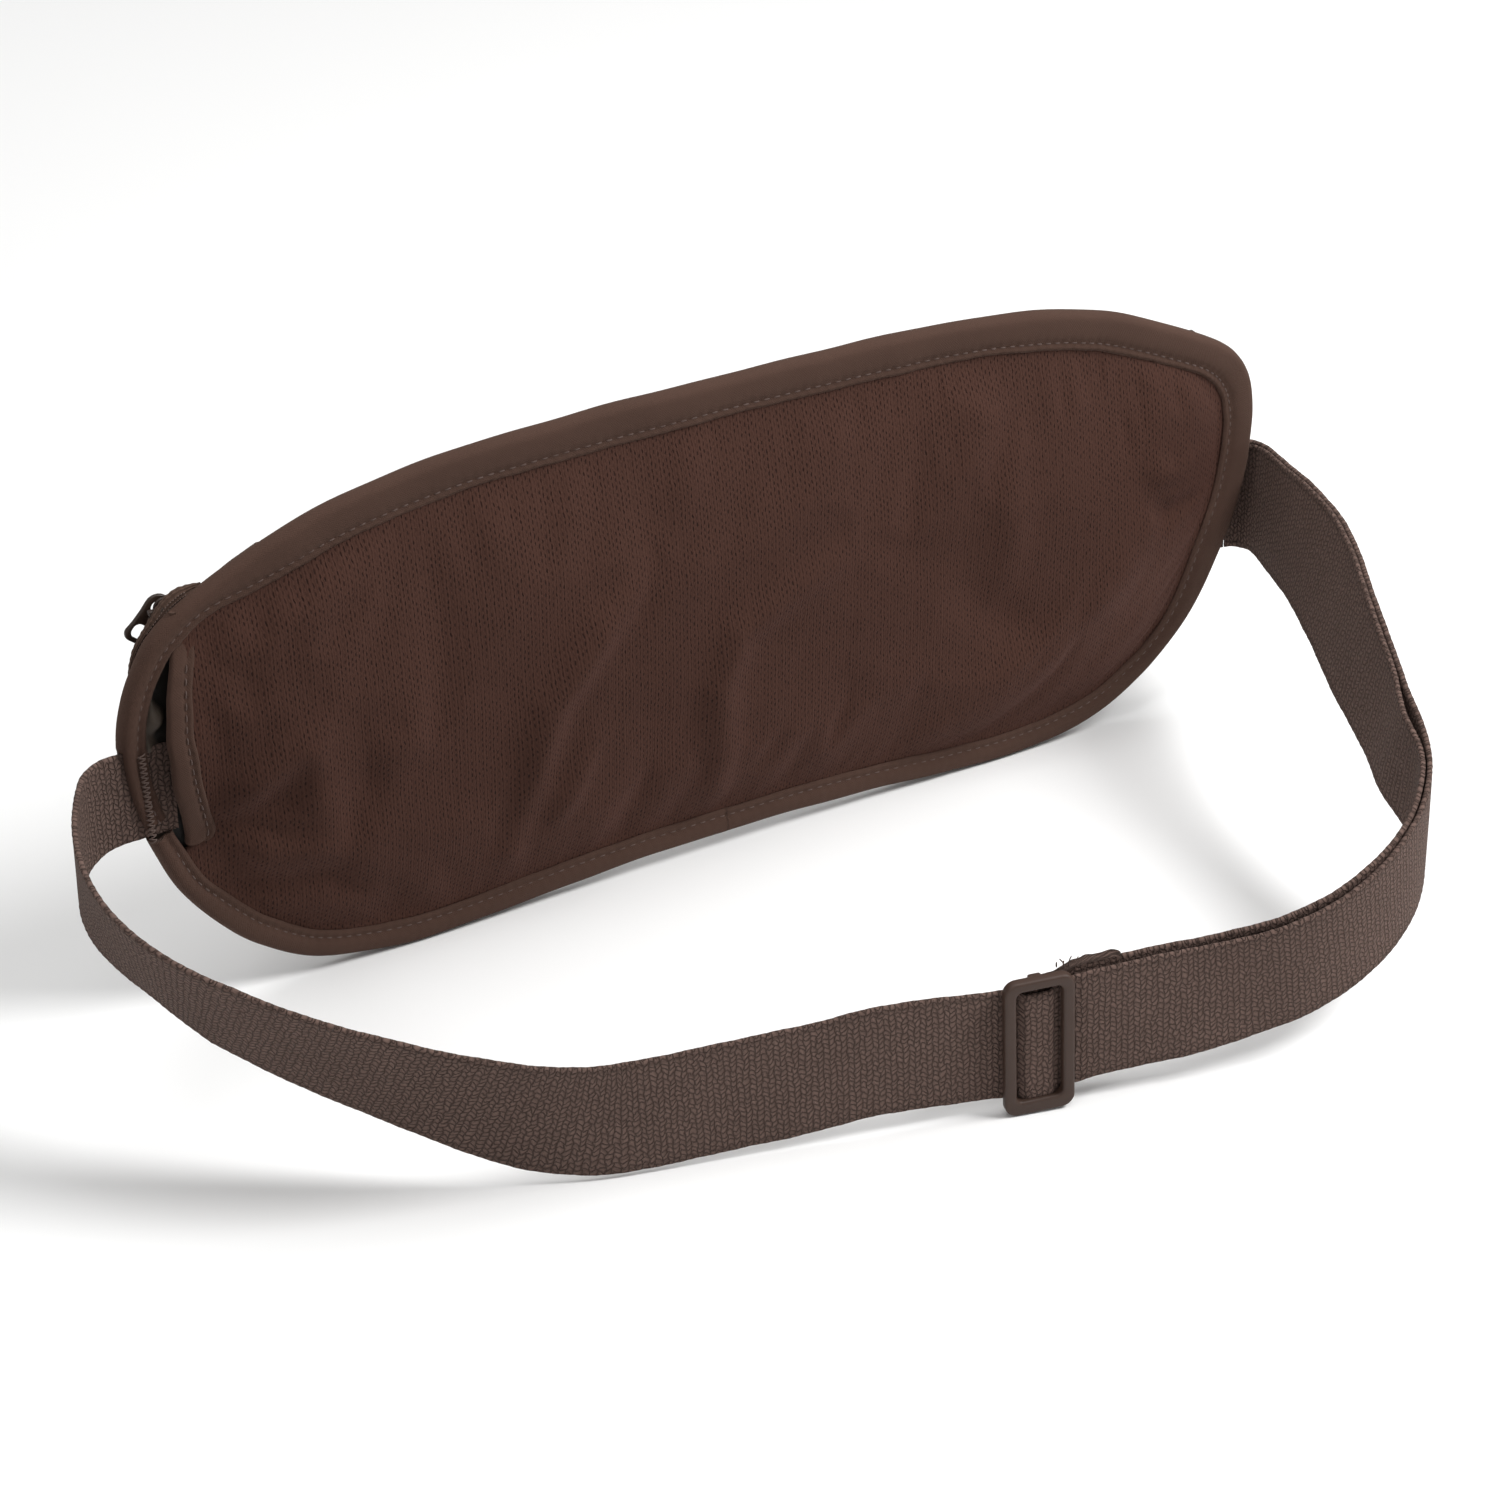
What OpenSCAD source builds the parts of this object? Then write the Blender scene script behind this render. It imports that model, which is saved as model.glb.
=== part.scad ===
// Waist-worn money belt: a flat zipped pouch with a mesh stash pocket on the
// body side, a folded edge binding, and an elastic belt with a slide adjuster
// and a side-release buckle. Millimetres, +Z up, the pouch stands on its lower
// edge, the mesh side (back) faces -Y and the zip side (front) faces +Y.

/* [Pouch] */
// Overall length of the pouch along X
pouch_l = 300; // [280:1:320]
// Overall height of the pouch along Z
pouch_h = 125; // [120:1:130]
// Width of the folded binding that shows on each side
binding_w = 9.5; // [8:0.5:11]
// How much narrower the binding is round the pocket mouth
mouth_trim = 3.5; // [2:0.5:4]
// Thickness of one binding flap
binding_t = 0.7; // [0.6:0.05:0.7]
// Height of the pocket mouth's lower end above the table
mouth_low = 44.7; // [42:0.5:46]
// Width of the folded tape that finishes the pocket mouth
mouth_w = 7; // [6:0.5:8]

/* [Zip] */
// Height of the zip line
zip_z = 100.5; // [100:0.5:101]
// Width of each zip tape
tape_w = 10.5; // [9:0.5:12]
// Height of the slider body along Z
slider_h = 8; // [7:0.5:8.5]
// Length of the pull from its eye to its grip end
pull_l = 9.3; // [8:0.1:14]
// Angle at which the pull hangs below the zip line
pull_droop = 50; // [20:5:70]

/* [Belt] */
// Width of the elastic webbing
web_w = 29; // [28:0.5:29.5]
// Thickness of the elastic webbing
web_t = 1.2; // [1:0.05:1.2]
// Distance of the adjuster along the belt from its sewn end
adj_s = 262; // [245:1:270]

/* [Adjuster] */
// Width of the adjuster frame along the belt
adj_w = 16; // [15:0.5:18]
// Height of the adjuster frame
adj_h = 36.4; // [36:0.2:38]
// Width of each side bar
adj_bar = 2.6; // [2.4:0.1:2.8]
// How far the frame hangs below the middle of the belt
adj_hang = 1.3; // [0:0.1:1.3]
// Depth of the frame
adj_d = 2.6; // [2.2:0.1:3]

/* [Buckle] */
// Height of the buckle across the belt
buckle_h = 38; // [37:0.5:40]
// Length of each spring prong
prong_l = 21; // [19:0.5:22]

/* [Hidden] */
$fn = 48;
brown = [0.30, 0.22, 0.20];
dark = [0.22, 0.14, 0.13];
grey_brown = [0.33, 0.27, 0.25];
metal = [0.27, 0.19, 0.15];
shift = [7.9971, 64.9846, 0];   // puts the origin on the table under the middle of the object

// Layers of the pouch along Y, as [back face, front face]
bind_y = [-2.5, 2.0];
mesh_y = [-1.7, -1.1];
lining_y = [-0.4, -0.15];
front_y = [0.3, 1.1];
tape_y = [2.1, 2.5];
coil_y = [2.52, 4.1];

// ---- shared helpers ----
function unit(v) = v / norm(v);
function clamp01(x) = min(1, max(0, x));
// smooth step from 0 to 1
function ease(x) = let (c = clamp01(x)) c * c * (3 - 2 * c);

module placed() translate(shift) children();
// an outline in X and Z, filled from y0 to y1
module slab(outline, y0, y1)
  translate([0, y1, 0]) rotate([90, 0, 0]) linear_extrude(y1 - y0) polygon(outline);
module block(x0, x1, y0, y1, z0, z1)
  translate([x0, y0, z0]) cube([x1 - x0, y1 - y0, z1 - z0]);
module round_rect(w, h, r) {
  square([w - 2 * r, h], center = true);
  square([w, h - 2 * r], center = true);
  for (x = [-1, 1], y = [-1, 1]) translate([x * (w / 2 - r), y * (h / 2 - r)]) circle(r);
}

// ================= outline of the pouch =================
// Left half as [distance from the middle, height], from the bottom middle up,
// for a pouch of base_l by base_h
base_l = 300;
base_h = 125;
left_half = [
  [0, 3.4], [20, 3.3], [41, 2.4], [62, 0.7], [86, 0.2], [107, 4.0],
  [121, 11.7], [131, 21.2], [138, 31.3], [143, 42], [147, 53], [149.3, 63],
  [150, 71], [148.9, 80], [145.8, 89], [139.2, 98.6], [126.4, 107.3],
  [106, 116], [84, 121.2], [60, 123.9], [30, 124.8], [0, 125]];
// The right half differs in its squarer upper corner, which starts at this index
corner_at = 13;
square_corner = [[150, 81], [147.4, 90.8], [141, 99], [128.4, 106.2]];
half_n = len(left_half);
right_half = [for (i = [0 : half_n - 1])
  (i >= corner_at && i < corner_at + len(square_corner))
    ? square_corner[i - corner_at] : left_half[i]];

// The whole rim runs up the right side and down the left, smoothed through the knots
function sized(p, side) = [side * p.x * pouch_l / base_l, p.y * pouch_h / base_h];
rim_knots = [for (p = right_half) sized(p, 1),
             for (i = [half_n - 2 : -1 : 1]) sized(left_half[i], -1)];
knot_n = len(rim_knots);
// Catmull-Rom curve from b to c
function spline(a, b, c, d, t) = 0.5 * (2 * b + (c - a) * t
  + (2 * a - 5 * b + 4 * c - d) * t * t + (3 * b - 3 * c + d - a) * t * t * t);
function knot(i) = rim_knots[(i + knot_n) % knot_n];
rim = [for (i = [0 : knot_n - 1]) for (t = [0 : 1 / 3 : 0.9])
  spline(knot(i - 1), knot(i), knot(i + 1), knot(i + 2), t)];
rim_n = len(rim);
function inward(i) =
  let (t = unit(rim[(i + 1) % rim_n] - rim[(i + rim_n - 1) % rim_n])) [-t.y, t.x];
function inset(d) = [for (i = [0 : rim_n - 1]) rim[i] + inward(i) * d];
// the binding narrows round the pocket mouth at the left end
function trim(p) =
  mouth_trim * ease((-p.x - 105) / 30) * ease((p.y - 18) / 16) * ease((118 - p.y) / 14);
// inner edge of the binding, moved a further d inward
function inner_rim(d) =
  [for (i = [0 : rim_n - 1]) rim[i] + inward(i) * (binding_w - trim(rim[i]) + d)];

// ================= pouch =================
strap_end_x = -138;             // sewn end of the belt
strap_end_z = 59.5;             // middle height of the belt there
strap_slit = web_w / 2 + 0.8;   // half height of the slit it passes through
mouth_x = strap_end_x + 0.5;    // left edge of the pocket mouth
panel_inset = 1.5;              // panel edges inside the rim
panel_gap = 4.5;                // front panel edges above and below the zip line

module edge_binding() color(brown) placed() difference() {
  slab(rim, bind_y[0], bind_y[1]);
  slab(inset(1.3), bind_y[0] + binding_t, bind_y[1] - binding_t);
  slab(inner_rim(0), bind_y[0] - 1, bind_y[1] + 1);
  // slit that the belt passes through
  block(-160, -142, bind_y[0] + binding_t, lining_y[0],
        strap_end_z - strap_slit, strap_end_z + strap_slit);
  // hollows behind both zip ends; the slider's back plate sits in the left one
  for (x = [-160, 100]) block(x, x + 60, 1.12, 3, zip_z - 5.3, zip_z + 5.3);
}

module back_mesh_panel() color(dark) placed() difference() {
  slab(inset(panel_inset), mesh_y[0], mesh_y[1]);
  block(-160, mouth_x + 0.9, -5, 5, mouth_low - 0.2, 112);
}

// tape folded round the left edge of the mesh
module mesh_pocket_binding() color(brown) placed() difference() {
  intersection() {
    block(mouth_x, mouth_x + mouth_w, -2.4, -0.46, mouth_low, 108);
    slab(inner_rim(0.3), -3, 0);
  }
  block(mouth_x + 0.7, 0, mesh_y[0] - 0.08, mesh_y[1] + 0.08, 0, 120);
}

module divider_lining() color(grey_brown) placed()
  slab(inset(panel_inset), lining_y[0], lining_y[1]);

// the part of the front panel between two heights
module front_panel(z0, z1) color(brown) placed() intersection() {
  slab(inset(panel_inset), front_y[0], front_y[1]);
  block(-160, 160, 0, 3, z0, z1);
}
module front_panel_upper() front_panel(zip_z + panel_gap, 140);
module front_panel_lower() front_panel(-10, zip_z - panel_gap);

// ================= zip =================
// side is 1 above the zip line and -1 below it
zip_left = -134.9;    // left ends of the coils, just right of the slider's wedge
zip_right = 131;      // right ends of the coils
tape_edge = 1.05;     // from the zip line to the tape
coil_w = 2.1;
coil_mid = 1.1;       // from the zip line to the middle of a coil
coil_back_r = 0.78;
slider_x = -133.3;    // middle of the slider body
slider_l = 9.6;
plate_t = 0.75;
leg_x = -135.6;       // left leg of the bridge, which carries the pull
leg_pitch = 4.4;      // between the two bridge legs
leg_half = 0.6;       // half the thickness of a leg
bridge_half = 0.9;    // half the height of the bridge and the wedge
bridge_y = [4.9, 6.9, 7.8];   // foot of the legs, underside and front of the bridge

module zip_tape(side) color(brown) placed() intersection() {
  slab(inset(-0.6), tape_y[0], tape_y[1]);
  translate([0, 0, zip_z + side * (tape_edge + tape_w / 2)])
    cube([400, 20, tape_w], center = true);
}
module zip_tape_upper() zip_tape(1);
module zip_tape_lower() zip_tape(-1);

// one side of the coil: a bar along the tape's edge with a rounded front
module zip_coil(side) color(dark) placed()
  translate([zip_left, 0, zip_z]) rotate([90, 0, 90]) linear_extrude(zip_right - zip_left) {
    translate([coil_y[0], side * coil_mid - coil_w / 2]) square([0.9, coil_w]);
    translate([coil_y[1] - coil_back_r, side * coil_mid]) circle(coil_back_r);
  }
module zip_coil_upper() zip_coil(1);
module zip_coil_lower() zip_coil(-1);

module zip_top_stops() color(metal) placed() for (side = [-1, 1])
  translate([slider_x - slider_l / 2 - 1.5, coil_y[0], zip_z + side * 2.2 - 1])
    cube([1.2, 1.3, 2]);

module zip_bottom_stop() color(metal) placed()
  block(zip_right + 0.2, zip_right + 2.8, coil_y[0], 4.3, zip_z - 2.6, zip_z + 2.6);

// a block centred on the zip line
module bridge_block(x0, x1, y0, y1)
  block(x0, x1, y0, y1, zip_z - bridge_half, zip_z + bridge_half);

module zip_slider_body() color(metal) placed() {
  // front plate, then the slightly smaller back plate
  translate([slider_x, 0, zip_z]) rotate([90, 0, 0]) {
    translate([0, 0, -5.0]) linear_extrude(plate_t) round_rect(slider_l, slider_h, 1.8);
    translate([0, 0, -1.95]) linear_extrude(plate_t)
      round_rect(slider_l - 0.6, slider_h - 0.4, 1.8);
  }
  // wedge between the plates, at the left end
  bridge_block(slider_x - 4.4, slider_x - 1.9, 1.9, 4.3);
  // flanges above and below the coils
  for (side = [-1, 1]) translate([slider_x, 3.5, zip_z + side * (slider_h / 2 - 0.75)])
    cube([slider_l - 3.4, 1.6, 1.3], center = true);
  // bridge for the pull
  for (x = [leg_x, leg_x + leg_pitch])
    bridge_block(x - leg_half, x + leg_half, bridge_y[0], bridge_y[2]);
  bridge_block(leg_x - leg_half, leg_x + leg_pitch + leg_half, bridge_y[1], bridge_y[2]);
}

// flat pull with a round eye and a rounded window in its grip
module zip_pull_tab() color(metal) placed()
  translate([leg_x, 6.5, zip_z]) rotate([90, 0, 0]) rotate(180 + pull_droop)
    linear_extrude(1.1) difference() {
      union() {
        circle(3.2);
        translate([0, -2.9]) square([pull_l - 3, 5.8]);
        translate([pull_l - 3, 0]) round_rect(6, 6.8, 2.2);
      }
      circle(1.7);
      translate([pull_l - 3.2, 0]) round_rect(3.2, 4.4, 1.3);
    }

// ================= path of the belt =================
// A distance along the belt is measured from its sewn end.
// Plan of the belt as tangent runs, each [length, radius]; radius 0 is straight,
// every bend turns the same way and together they make one full turn.
function arc(radius, angle) = [radius * angle * PI / 180, radius];
RUNS = [[12, 0], arc(14, 56), arc(43, 82.5), arc(178, 27.5), [144, 0],
        arc(54, 87), [102.7, 0], arc(9, 107), [16, 0]];
function run_end(i) = i < 0 ? 0 : run_end(i - 1) + RUNS[i][0];
long_start = run_end(3);      // start of the long straight run, away from the pouch on -Y
long_end = run_end(4);
fold_s = run_end(8);          // fold at the buckle

// [point, heading] at a distance s into a run
function along(p, heading, run, s) = run[1] == 0
  ? [p + s * [cos(heading), sin(heading)], heading]
  : let (end = heading + s / run[1] * 180 / PI)
    [p + run[1] * [sin(end) - sin(heading), cos(heading) - cos(end)], end];
// [point, heading] at a distance s along the belt
function walk(s, i = 0, p = [strap_end_x, -1.1], heading = 180) =
  (s <= RUNS[i][0] || i == len(RUNS) - 1) ? along(p, heading, RUNS[i], s)
  : let (next = along(p, heading, RUNS[i], RUNS[i][0]))
    walk(s - RUNS[i][0], i + 1, next[0], next[1]);

// Height of the belt's middle and its outward lean, as [distance, value] knots;
// a third value fixes the slope there, otherwise the curve runs smoothly through
level_end = long_end - 20;    // the long run doesn't lean up to here
last_l = fold_s - level_end;
low_z = 15.4;                 // height at the start of the long run
adj_z = 19.75;                // height at the adjuster
buckle_z = 52.7;
rise = (adj_z - low_z) / (adj_s - long_start);
HEIGHT = [
  [0, strap_end_z, 0], [12, strap_end_z, 0],
  [0.36 * long_start, 52.7], [0.66 * long_start, 32.6], [long_start, low_z, rise],
  [level_end, low_z + rise * (level_end - long_start), rise],
  [level_end + 0.33 * last_l, 37.8], [level_end + 0.66 * last_l, 56.4],
  [fold_s - 16, buckle_z, 0], [fold_s, buckle_z, 0]];
LEAN = [
  [0, 0, 0], [12, 0, 0], [0.2 * long_start, -2.1],
  [0.42 * long_start, 24.7], [0.7 * long_start, 19.8], [long_start, 0, 0],
  [level_end, 0, 0], [level_end + 0.33 * last_l, -3.2], [level_end + 0.66 * last_l, 11.9],
  [fold_s - 16, 0, 0], [fold_s, 0, 0]];
function slope(table, i) = len(table[i]) > 2 ? table[i][2]
  : (table[i + 1][1] - table[i - 1][1]) / (table[i + 1][0] - table[i - 1][0]);
// cubic Hermite curve through a table
function curve(table, s, i = 0) =
  (s > table[i + 1][0] && i < len(table) - 2) ? curve(table, s, i + 1)
  : let (a = table[i], b = table[i + 1], span = b[0] - a[0], t = clamp01((s - a[0]) / span))
    a[1] * (2 * t * t * t - 3 * t * t + 1)
    + slope(table, i) * span * (t * t * t - 2 * t * t + t)
    + b[1] * (3 * t * t - 2 * t * t * t)
    + slope(table, i + 1) * span * (t * t * t - t * t);

function mid(s) = let (p = walk(s)[0]) [p.x, p.y, curve(HEIGHT, s)];
// frame of the webbing at s: [point, along, across, outward from the belt's loop]
function webbing(s) = let (
    heading = walk(s)[1],
    dz = curve(HEIGHT, s + 0.5) - curve(HEIGHT, s - 0.5),
    ahead = unit([cos(heading), sin(heading), dz]),
    up = unit([0, 0, 1] - ahead * ahead.z),
    out = cross(ahead, up),
    lean = curve(LEAN, s))
  [mid(s), ahead, up * cos(lean) + out * sin(lean), out * cos(lean) - up * sin(lean)];

// ================= belt =================
weave = 2.0;          // how far the belt rises over the adjuster's middle bar
fold_r = 1.9;         // middle of the webbing round the buckle bar
tail_l = 15;          // sewn end beyond the adjuster's middle bar
near_gap = 2.65;      // between the middles of the two layers near the adjuster
return_s = adj_s + tail_l + 0.3;   // where the inner layer ends
function over_bar(s) = weave * ease((5.6 - abs(s - adj_s)) / 4.4);
function layer_gap(s) =
  near_gap + (2 * fold_r - near_gap) * ease((s - adj_s - 20) / (fold_s - adj_s - 40));

function steps(a, b, n) = [for (i = [0 : n - 1]) a + (b - a) * i / n];
OUTER_S = concat(
  steps(0, 12, 2), steps(12, long_start, 34), steps(long_start, adj_s - 6, 8),
  steps(adj_s - 6, adj_s + 6, 16), steps(adj_s + 6, long_end, 4),
  steps(long_end, fold_s, 40), [fold_s]);
INNER_S = concat(
  [fold_s], steps(fold_s - 0.01, long_end, 40), steps(long_end, return_s, 4), [return_s]);

// Sections of the webbing as [middle, face normal, across]: the outer layer,
// the fold round the buckle bar, then the inner layer back to the adjuster
fold = webbing(fold_s);
SECTIONS = concat(
  [for (s = OUTER_S) let (f = webbing(s)) [f[0] + f[3] * over_bar(s), f[3], f[2]]],
  [for (a = [20 : 20 : 160]) let (normal = fold[3] * cos(a) + fold[1] * sin(a))
    [fold[0] - fold[3] * fold_r + normal * fold_r, normal, fold[2]]],
  [for (s = INNER_S) let (f = webbing(s)) [f[0] - f[3] * layer_gap(s), -f[3], f[2]]]);
last = 4 * len(SECTIONS) - 4;   // first point of the last section
// corners of a section, as signs along [face normal, across]
CORNERS = [[1, -1], [1, 1], [-1, 1], [-1, -1]];

module elastic_strap() color(grey_brown) placed() polyhedron(
  points = [for (f = SECTIONS) for (c = CORNERS)
    f[0] + f[1] * c[0] * web_t / 2 + f[2] * c[1] * web_w / 2],
  faces = concat(
    [[3, 2, 1, 0]],
    [[last, last + 1, last + 2, last + 3]],
    [for (i = [0 : 4 : last - 4]) for (j = [0 : 3]) let (k = (j + 1) % 4)
      each [[i + j, i + k, i + 4 + k], [i + j, i + 4 + k, i + 4 + j]]]));

// ================= adjuster =================
// Its own axes: X along the belt, Y towards the pouch, Z across the belt
bar_y = 1.0;          // middle bar, on the pouch side of the frame

module on_belt() placed()
  translate(mid(adj_s)) rotate([0, -atan(rise), walk(adj_s)[1]]) children();

module adjuster_frame() color(brown) on_belt() {
  translate([0, -web_t / 2 - 0.15, -adj_hang]) rotate([90, 0, 0])
    linear_extrude(adj_d) difference() {
      round_rect(adj_w, adj_h, 3);
      round_rect(adj_w - 2 * adj_bar, web_w + 3, 1.4);
    }
  // offset middle bar and the lugs that carry it
  translate([0, bar_y, -web_w / 2 - 3.5]) cylinder(r = 0.95, h = web_w + 5);
  for (z = [-web_w / 2 - 4.4, web_w / 2 + 0.25])
    translate([-1.5, -web_t / 2 - 0.5, z]) cube([3, 3.1, 1.6]);
}

module strap_end_loop() color(grey_brown) on_belt()
  translate([0, bar_y, -web_w / 2]) linear_extrude(web_w) difference() {
    union() {
      circle(2.3);
      translate([0, -0.15]) square([tail_l, 2.45]);
    }
    circle(1.12);
  }

// ================= buckle, on the zip side near the right end =================
bar_x = fold[0].x;               // bar of the plug
mid_y = fold[0].y - fold_r;      // middle plane of the buckle
mid_z = fold[0].z;               // middle height
plug_l = 18;
plug_t = 6;
plug_x = bar_x - 16;             // shoulder of the plug, its left end
sock_x = plug_x - 0.4;           // mouth of the socket, its right end
sock_l = 34;
sock_t = 7.4;
tail_x = sock_x - sock_l;        // left end of the socket
tail_bar_w = 3;
prong_z = 13;                    // prongs above and below the middle
slot_h = web_w + 1.2;            // openings that the webbing passes through

module buckle_plug() color(brown) placed() {
  translate([plug_x, mid_y + plug_t / 2, mid_z]) rotate([90, 0, 0])
    linear_extrude(plug_t) difference() {
      translate([plug_l / 2, 0]) round_rect(plug_l, buckle_h, 3);
      // opening round the bar, out through the right end
      translate([12.9, 0]) square([2.6, slot_h], center = true);
      translate([16.5, 0]) square([4.8, slot_h], center = true);
    }
  translate([bar_x, mid_y, mid_z - web_w / 2 - 1]) cylinder(r = 1.2, h = web_w + 2);
  // guide tongue
  translate([plug_x - 19, mid_y - 1.5, mid_z - 3.5]) cube([20, 3, 7]);
}

// Spring prong with a barb at its tip, as [along, away from the middle]
PRONG = [[0, -1.5], [0, 1.5], [-prong_l + 9, 1.5], [-prong_l + 9, 5.4],
         [-prong_l + 7, 5.4], [-prong_l + 1, 2.6], [-prong_l, 0.8], [-prong_l, -1.5]];
module prong(side) color(brown) placed()
  translate([plug_x - 0.45, mid_y + 1.8, mid_z + side * prong_z]) rotate([90, 0, 0])
    linear_extrude(3.6) polygon([for (p = PRONG) [p.x, side * p.y]]);
module plug_prong_upper() prong(1);
module plug_prong_lower() prong(-1);

module buckle_socket() color(brown) placed() difference() {
  translate([tail_x, mid_y + sock_t / 2, mid_z]) rotate([90, 0, 0]) linear_extrude(sock_t)
    translate([sock_l / 2, 0]) round_rect(sock_l, buckle_h, 3);
  // chamber for the tongue and prongs
  block(sock_x - 25, sock_x + 1, mid_y - 2.1, mid_y + 2.1, mid_z - 16.2, mid_z + 16.2);
  // side windows for the barbs
  for (side = [-1, 1]) translate([sock_x - 16.2, mid_y, mid_z + side * 17.5])
    cube([10.6, 4.2, 8], center = true);
  // slot for the sewn tab
  block(tail_x + tail_bar_w, tail_x + 6.6, mid_y - 5, mid_y + 5,
        mid_z - slot_h / 2, mid_z + slot_h / 2);
  // the tail bar is thinner than the body
  for (y = [mid_y - 5, mid_y + 1.3])
    block(tail_x - 1, tail_x + tail_bar_w, y, y + 3.7, mid_z - slot_h / 2, mid_z + slot_h / 2);
}

// webbing tab: folded round the tail bar and sewn flat to the front panel
tab_y = front_y[1] + 0.12;       // back face, on the front panel
tab_t = 2.3;                     // thickness of the flat part
tab_end_x = tail_x - 34;
tab_loop_x = tail_x + 5.5;
tab_half = 2.6;                  // half thickness round the tail bar
// point i of 0 to 10 on the slope of one face, from the panel out to the tail bar
function tab_slope(i, y0, y1) = [tail_x - 20 + 1.8 * i, y0 + (y1 - y0) * ease(i / 10)];

module socket_tab() color(grey_brown) placed()
  translate([0, 0, mid_z - web_w / 2]) linear_extrude(web_w) difference() {
    polygon(concat(
      [[tab_end_x, tab_y]],
      [for (i = [0 : 10]) tab_slope(i, tab_y, mid_y - tab_half)],
      [[tab_loop_x, mid_y - tab_half], [tab_loop_x, mid_y + tab_half]],
      [for (i = [10 : -1 : 0]) tab_slope(i, tab_y + tab_t, mid_y + tab_half)],
      [[tab_end_x, tab_y + tab_t]]));
    translate([tail_x - 1.6, mid_y - 1.42]) square([5.9, 2.84]);
  }

back_mesh_panel();
mesh_pocket_binding();
divider_lining();
front_panel_upper();
front_panel_lower();
edge_binding();
zip_tape_upper();
zip_tape_lower();
zip_coil_upper();
zip_coil_lower();
zip_top_stops();
zip_bottom_stop();
zip_slider_body();
zip_pull_tab();
elastic_strap();
strap_end_loop();
adjuster_frame();
buckle_plug();
plug_prong_upper();
plug_prong_lower();
buckle_socket();
socket_tab();
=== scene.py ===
"""A zipped waist pouch on an elastic belt with an adjuster and a side-release buckle.

The pouch stands on the table, thin along y. Its body side, with the mesh pocket, faces -y;
its zip side faces +y. The belt leaves the -x end, runs along the -y side, bends round the +x
end and comes back to the buckle on the +y face.
"""
import math
import bpy
import numpy as np
from mathutils import Matrix, Vector


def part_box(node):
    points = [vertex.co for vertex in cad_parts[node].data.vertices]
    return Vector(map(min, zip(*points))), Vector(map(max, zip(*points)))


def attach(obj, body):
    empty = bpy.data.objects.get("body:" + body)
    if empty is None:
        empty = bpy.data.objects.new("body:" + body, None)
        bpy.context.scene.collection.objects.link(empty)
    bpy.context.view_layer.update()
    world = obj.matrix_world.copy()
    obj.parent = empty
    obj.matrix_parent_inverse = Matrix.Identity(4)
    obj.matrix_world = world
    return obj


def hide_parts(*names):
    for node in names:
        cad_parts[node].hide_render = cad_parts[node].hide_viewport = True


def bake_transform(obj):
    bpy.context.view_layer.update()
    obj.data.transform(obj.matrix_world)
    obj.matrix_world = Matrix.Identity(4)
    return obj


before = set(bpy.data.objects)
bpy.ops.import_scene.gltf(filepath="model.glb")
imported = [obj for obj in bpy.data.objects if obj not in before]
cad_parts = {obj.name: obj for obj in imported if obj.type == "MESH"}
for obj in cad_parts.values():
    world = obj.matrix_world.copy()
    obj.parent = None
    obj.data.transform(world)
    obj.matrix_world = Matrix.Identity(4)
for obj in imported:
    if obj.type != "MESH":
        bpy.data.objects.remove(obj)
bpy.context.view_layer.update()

# ------------------------------------------------------------------ frame
# Lengths are millimetres in the pouch's own frame: x = 0 and y = 0 in the middle
# of the pouch, z = 0 on the table.
_low, _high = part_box("edge_binding")
SHIFT = np.array([(_low.x + _high.x) * 500.0, _high.y * 1000.0 - 2.0, 0.0])
Y_AXIS = np.array([0, 1.0, 0])

ZIP_Z = 100.5            # centre line of the zip
STITCH_PITCH = 2.7       # along the binding and the mouth tape
BIND_MID_Y = -0.2        # fold line of the edge binding
BIND_STITCH_IN = 1.95    # binding stitches, in from the binding's inner edge
MOUTH_DRIFT = 0.569      # how far the pocket mouth moves to -x for each mm it stands off
SEW_RADIUS = 0.17        # ordinary sewing thread
BELT_WIDTH = 29.0
BUCKLE_GAP = 3.8         # spacing of the belt's two layers at the plug's bar


def to_world(points):
    return (np.asarray(points, float) + SHIFT) / 1000.0


def ease(x):
    c = np.clip(x, 0, 1)
    return c * c * (3 - 2 * c)


def unit(v):
    v = np.asarray(v, float)
    return v / np.maximum(np.linalg.norm(v, axis=-1, keepdims=True), 1e-12)


def distances(points):
    """Distance run along each path of points, starting at 0."""
    step = np.linalg.norm(np.diff(points, axis=-2), axis=-1)
    return np.concatenate([np.zeros(step.shape[:-1] + (1,)), np.cumsum(step, -1)], -1)


def wave(t, seed, lengths):
    """Smooth wander along t, a sum of sines with the given wavelengths."""
    random = np.random.RandomState(seed)
    t = np.asarray(t, float)
    out = np.zeros_like(t)
    for length in lengths:
        out += math.sqrt(length / max(lengths)) * np.sin(2 * math.pi * (t / length + random.rand()))
    return out / math.sqrt(len(lengths))


def field(x, z, seed, length, waves=14):
    """Smooth 2-D wander with features about length across, roughly -1 to 1."""
    random = np.random.RandomState(seed)
    out = np.zeros(np.broadcast(x, z).shape)
    for _ in range(waves):
        angle = random.rand() * 2 * math.pi
        size = length * (0.6 + 0.9 * random.rand())
        phase = random.rand()
        out += np.sin(2 * math.pi * ((x * math.cos(angle) + z * math.sin(angle)) / size + phase))
    return out / math.sqrt(waves) * 0.9


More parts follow.
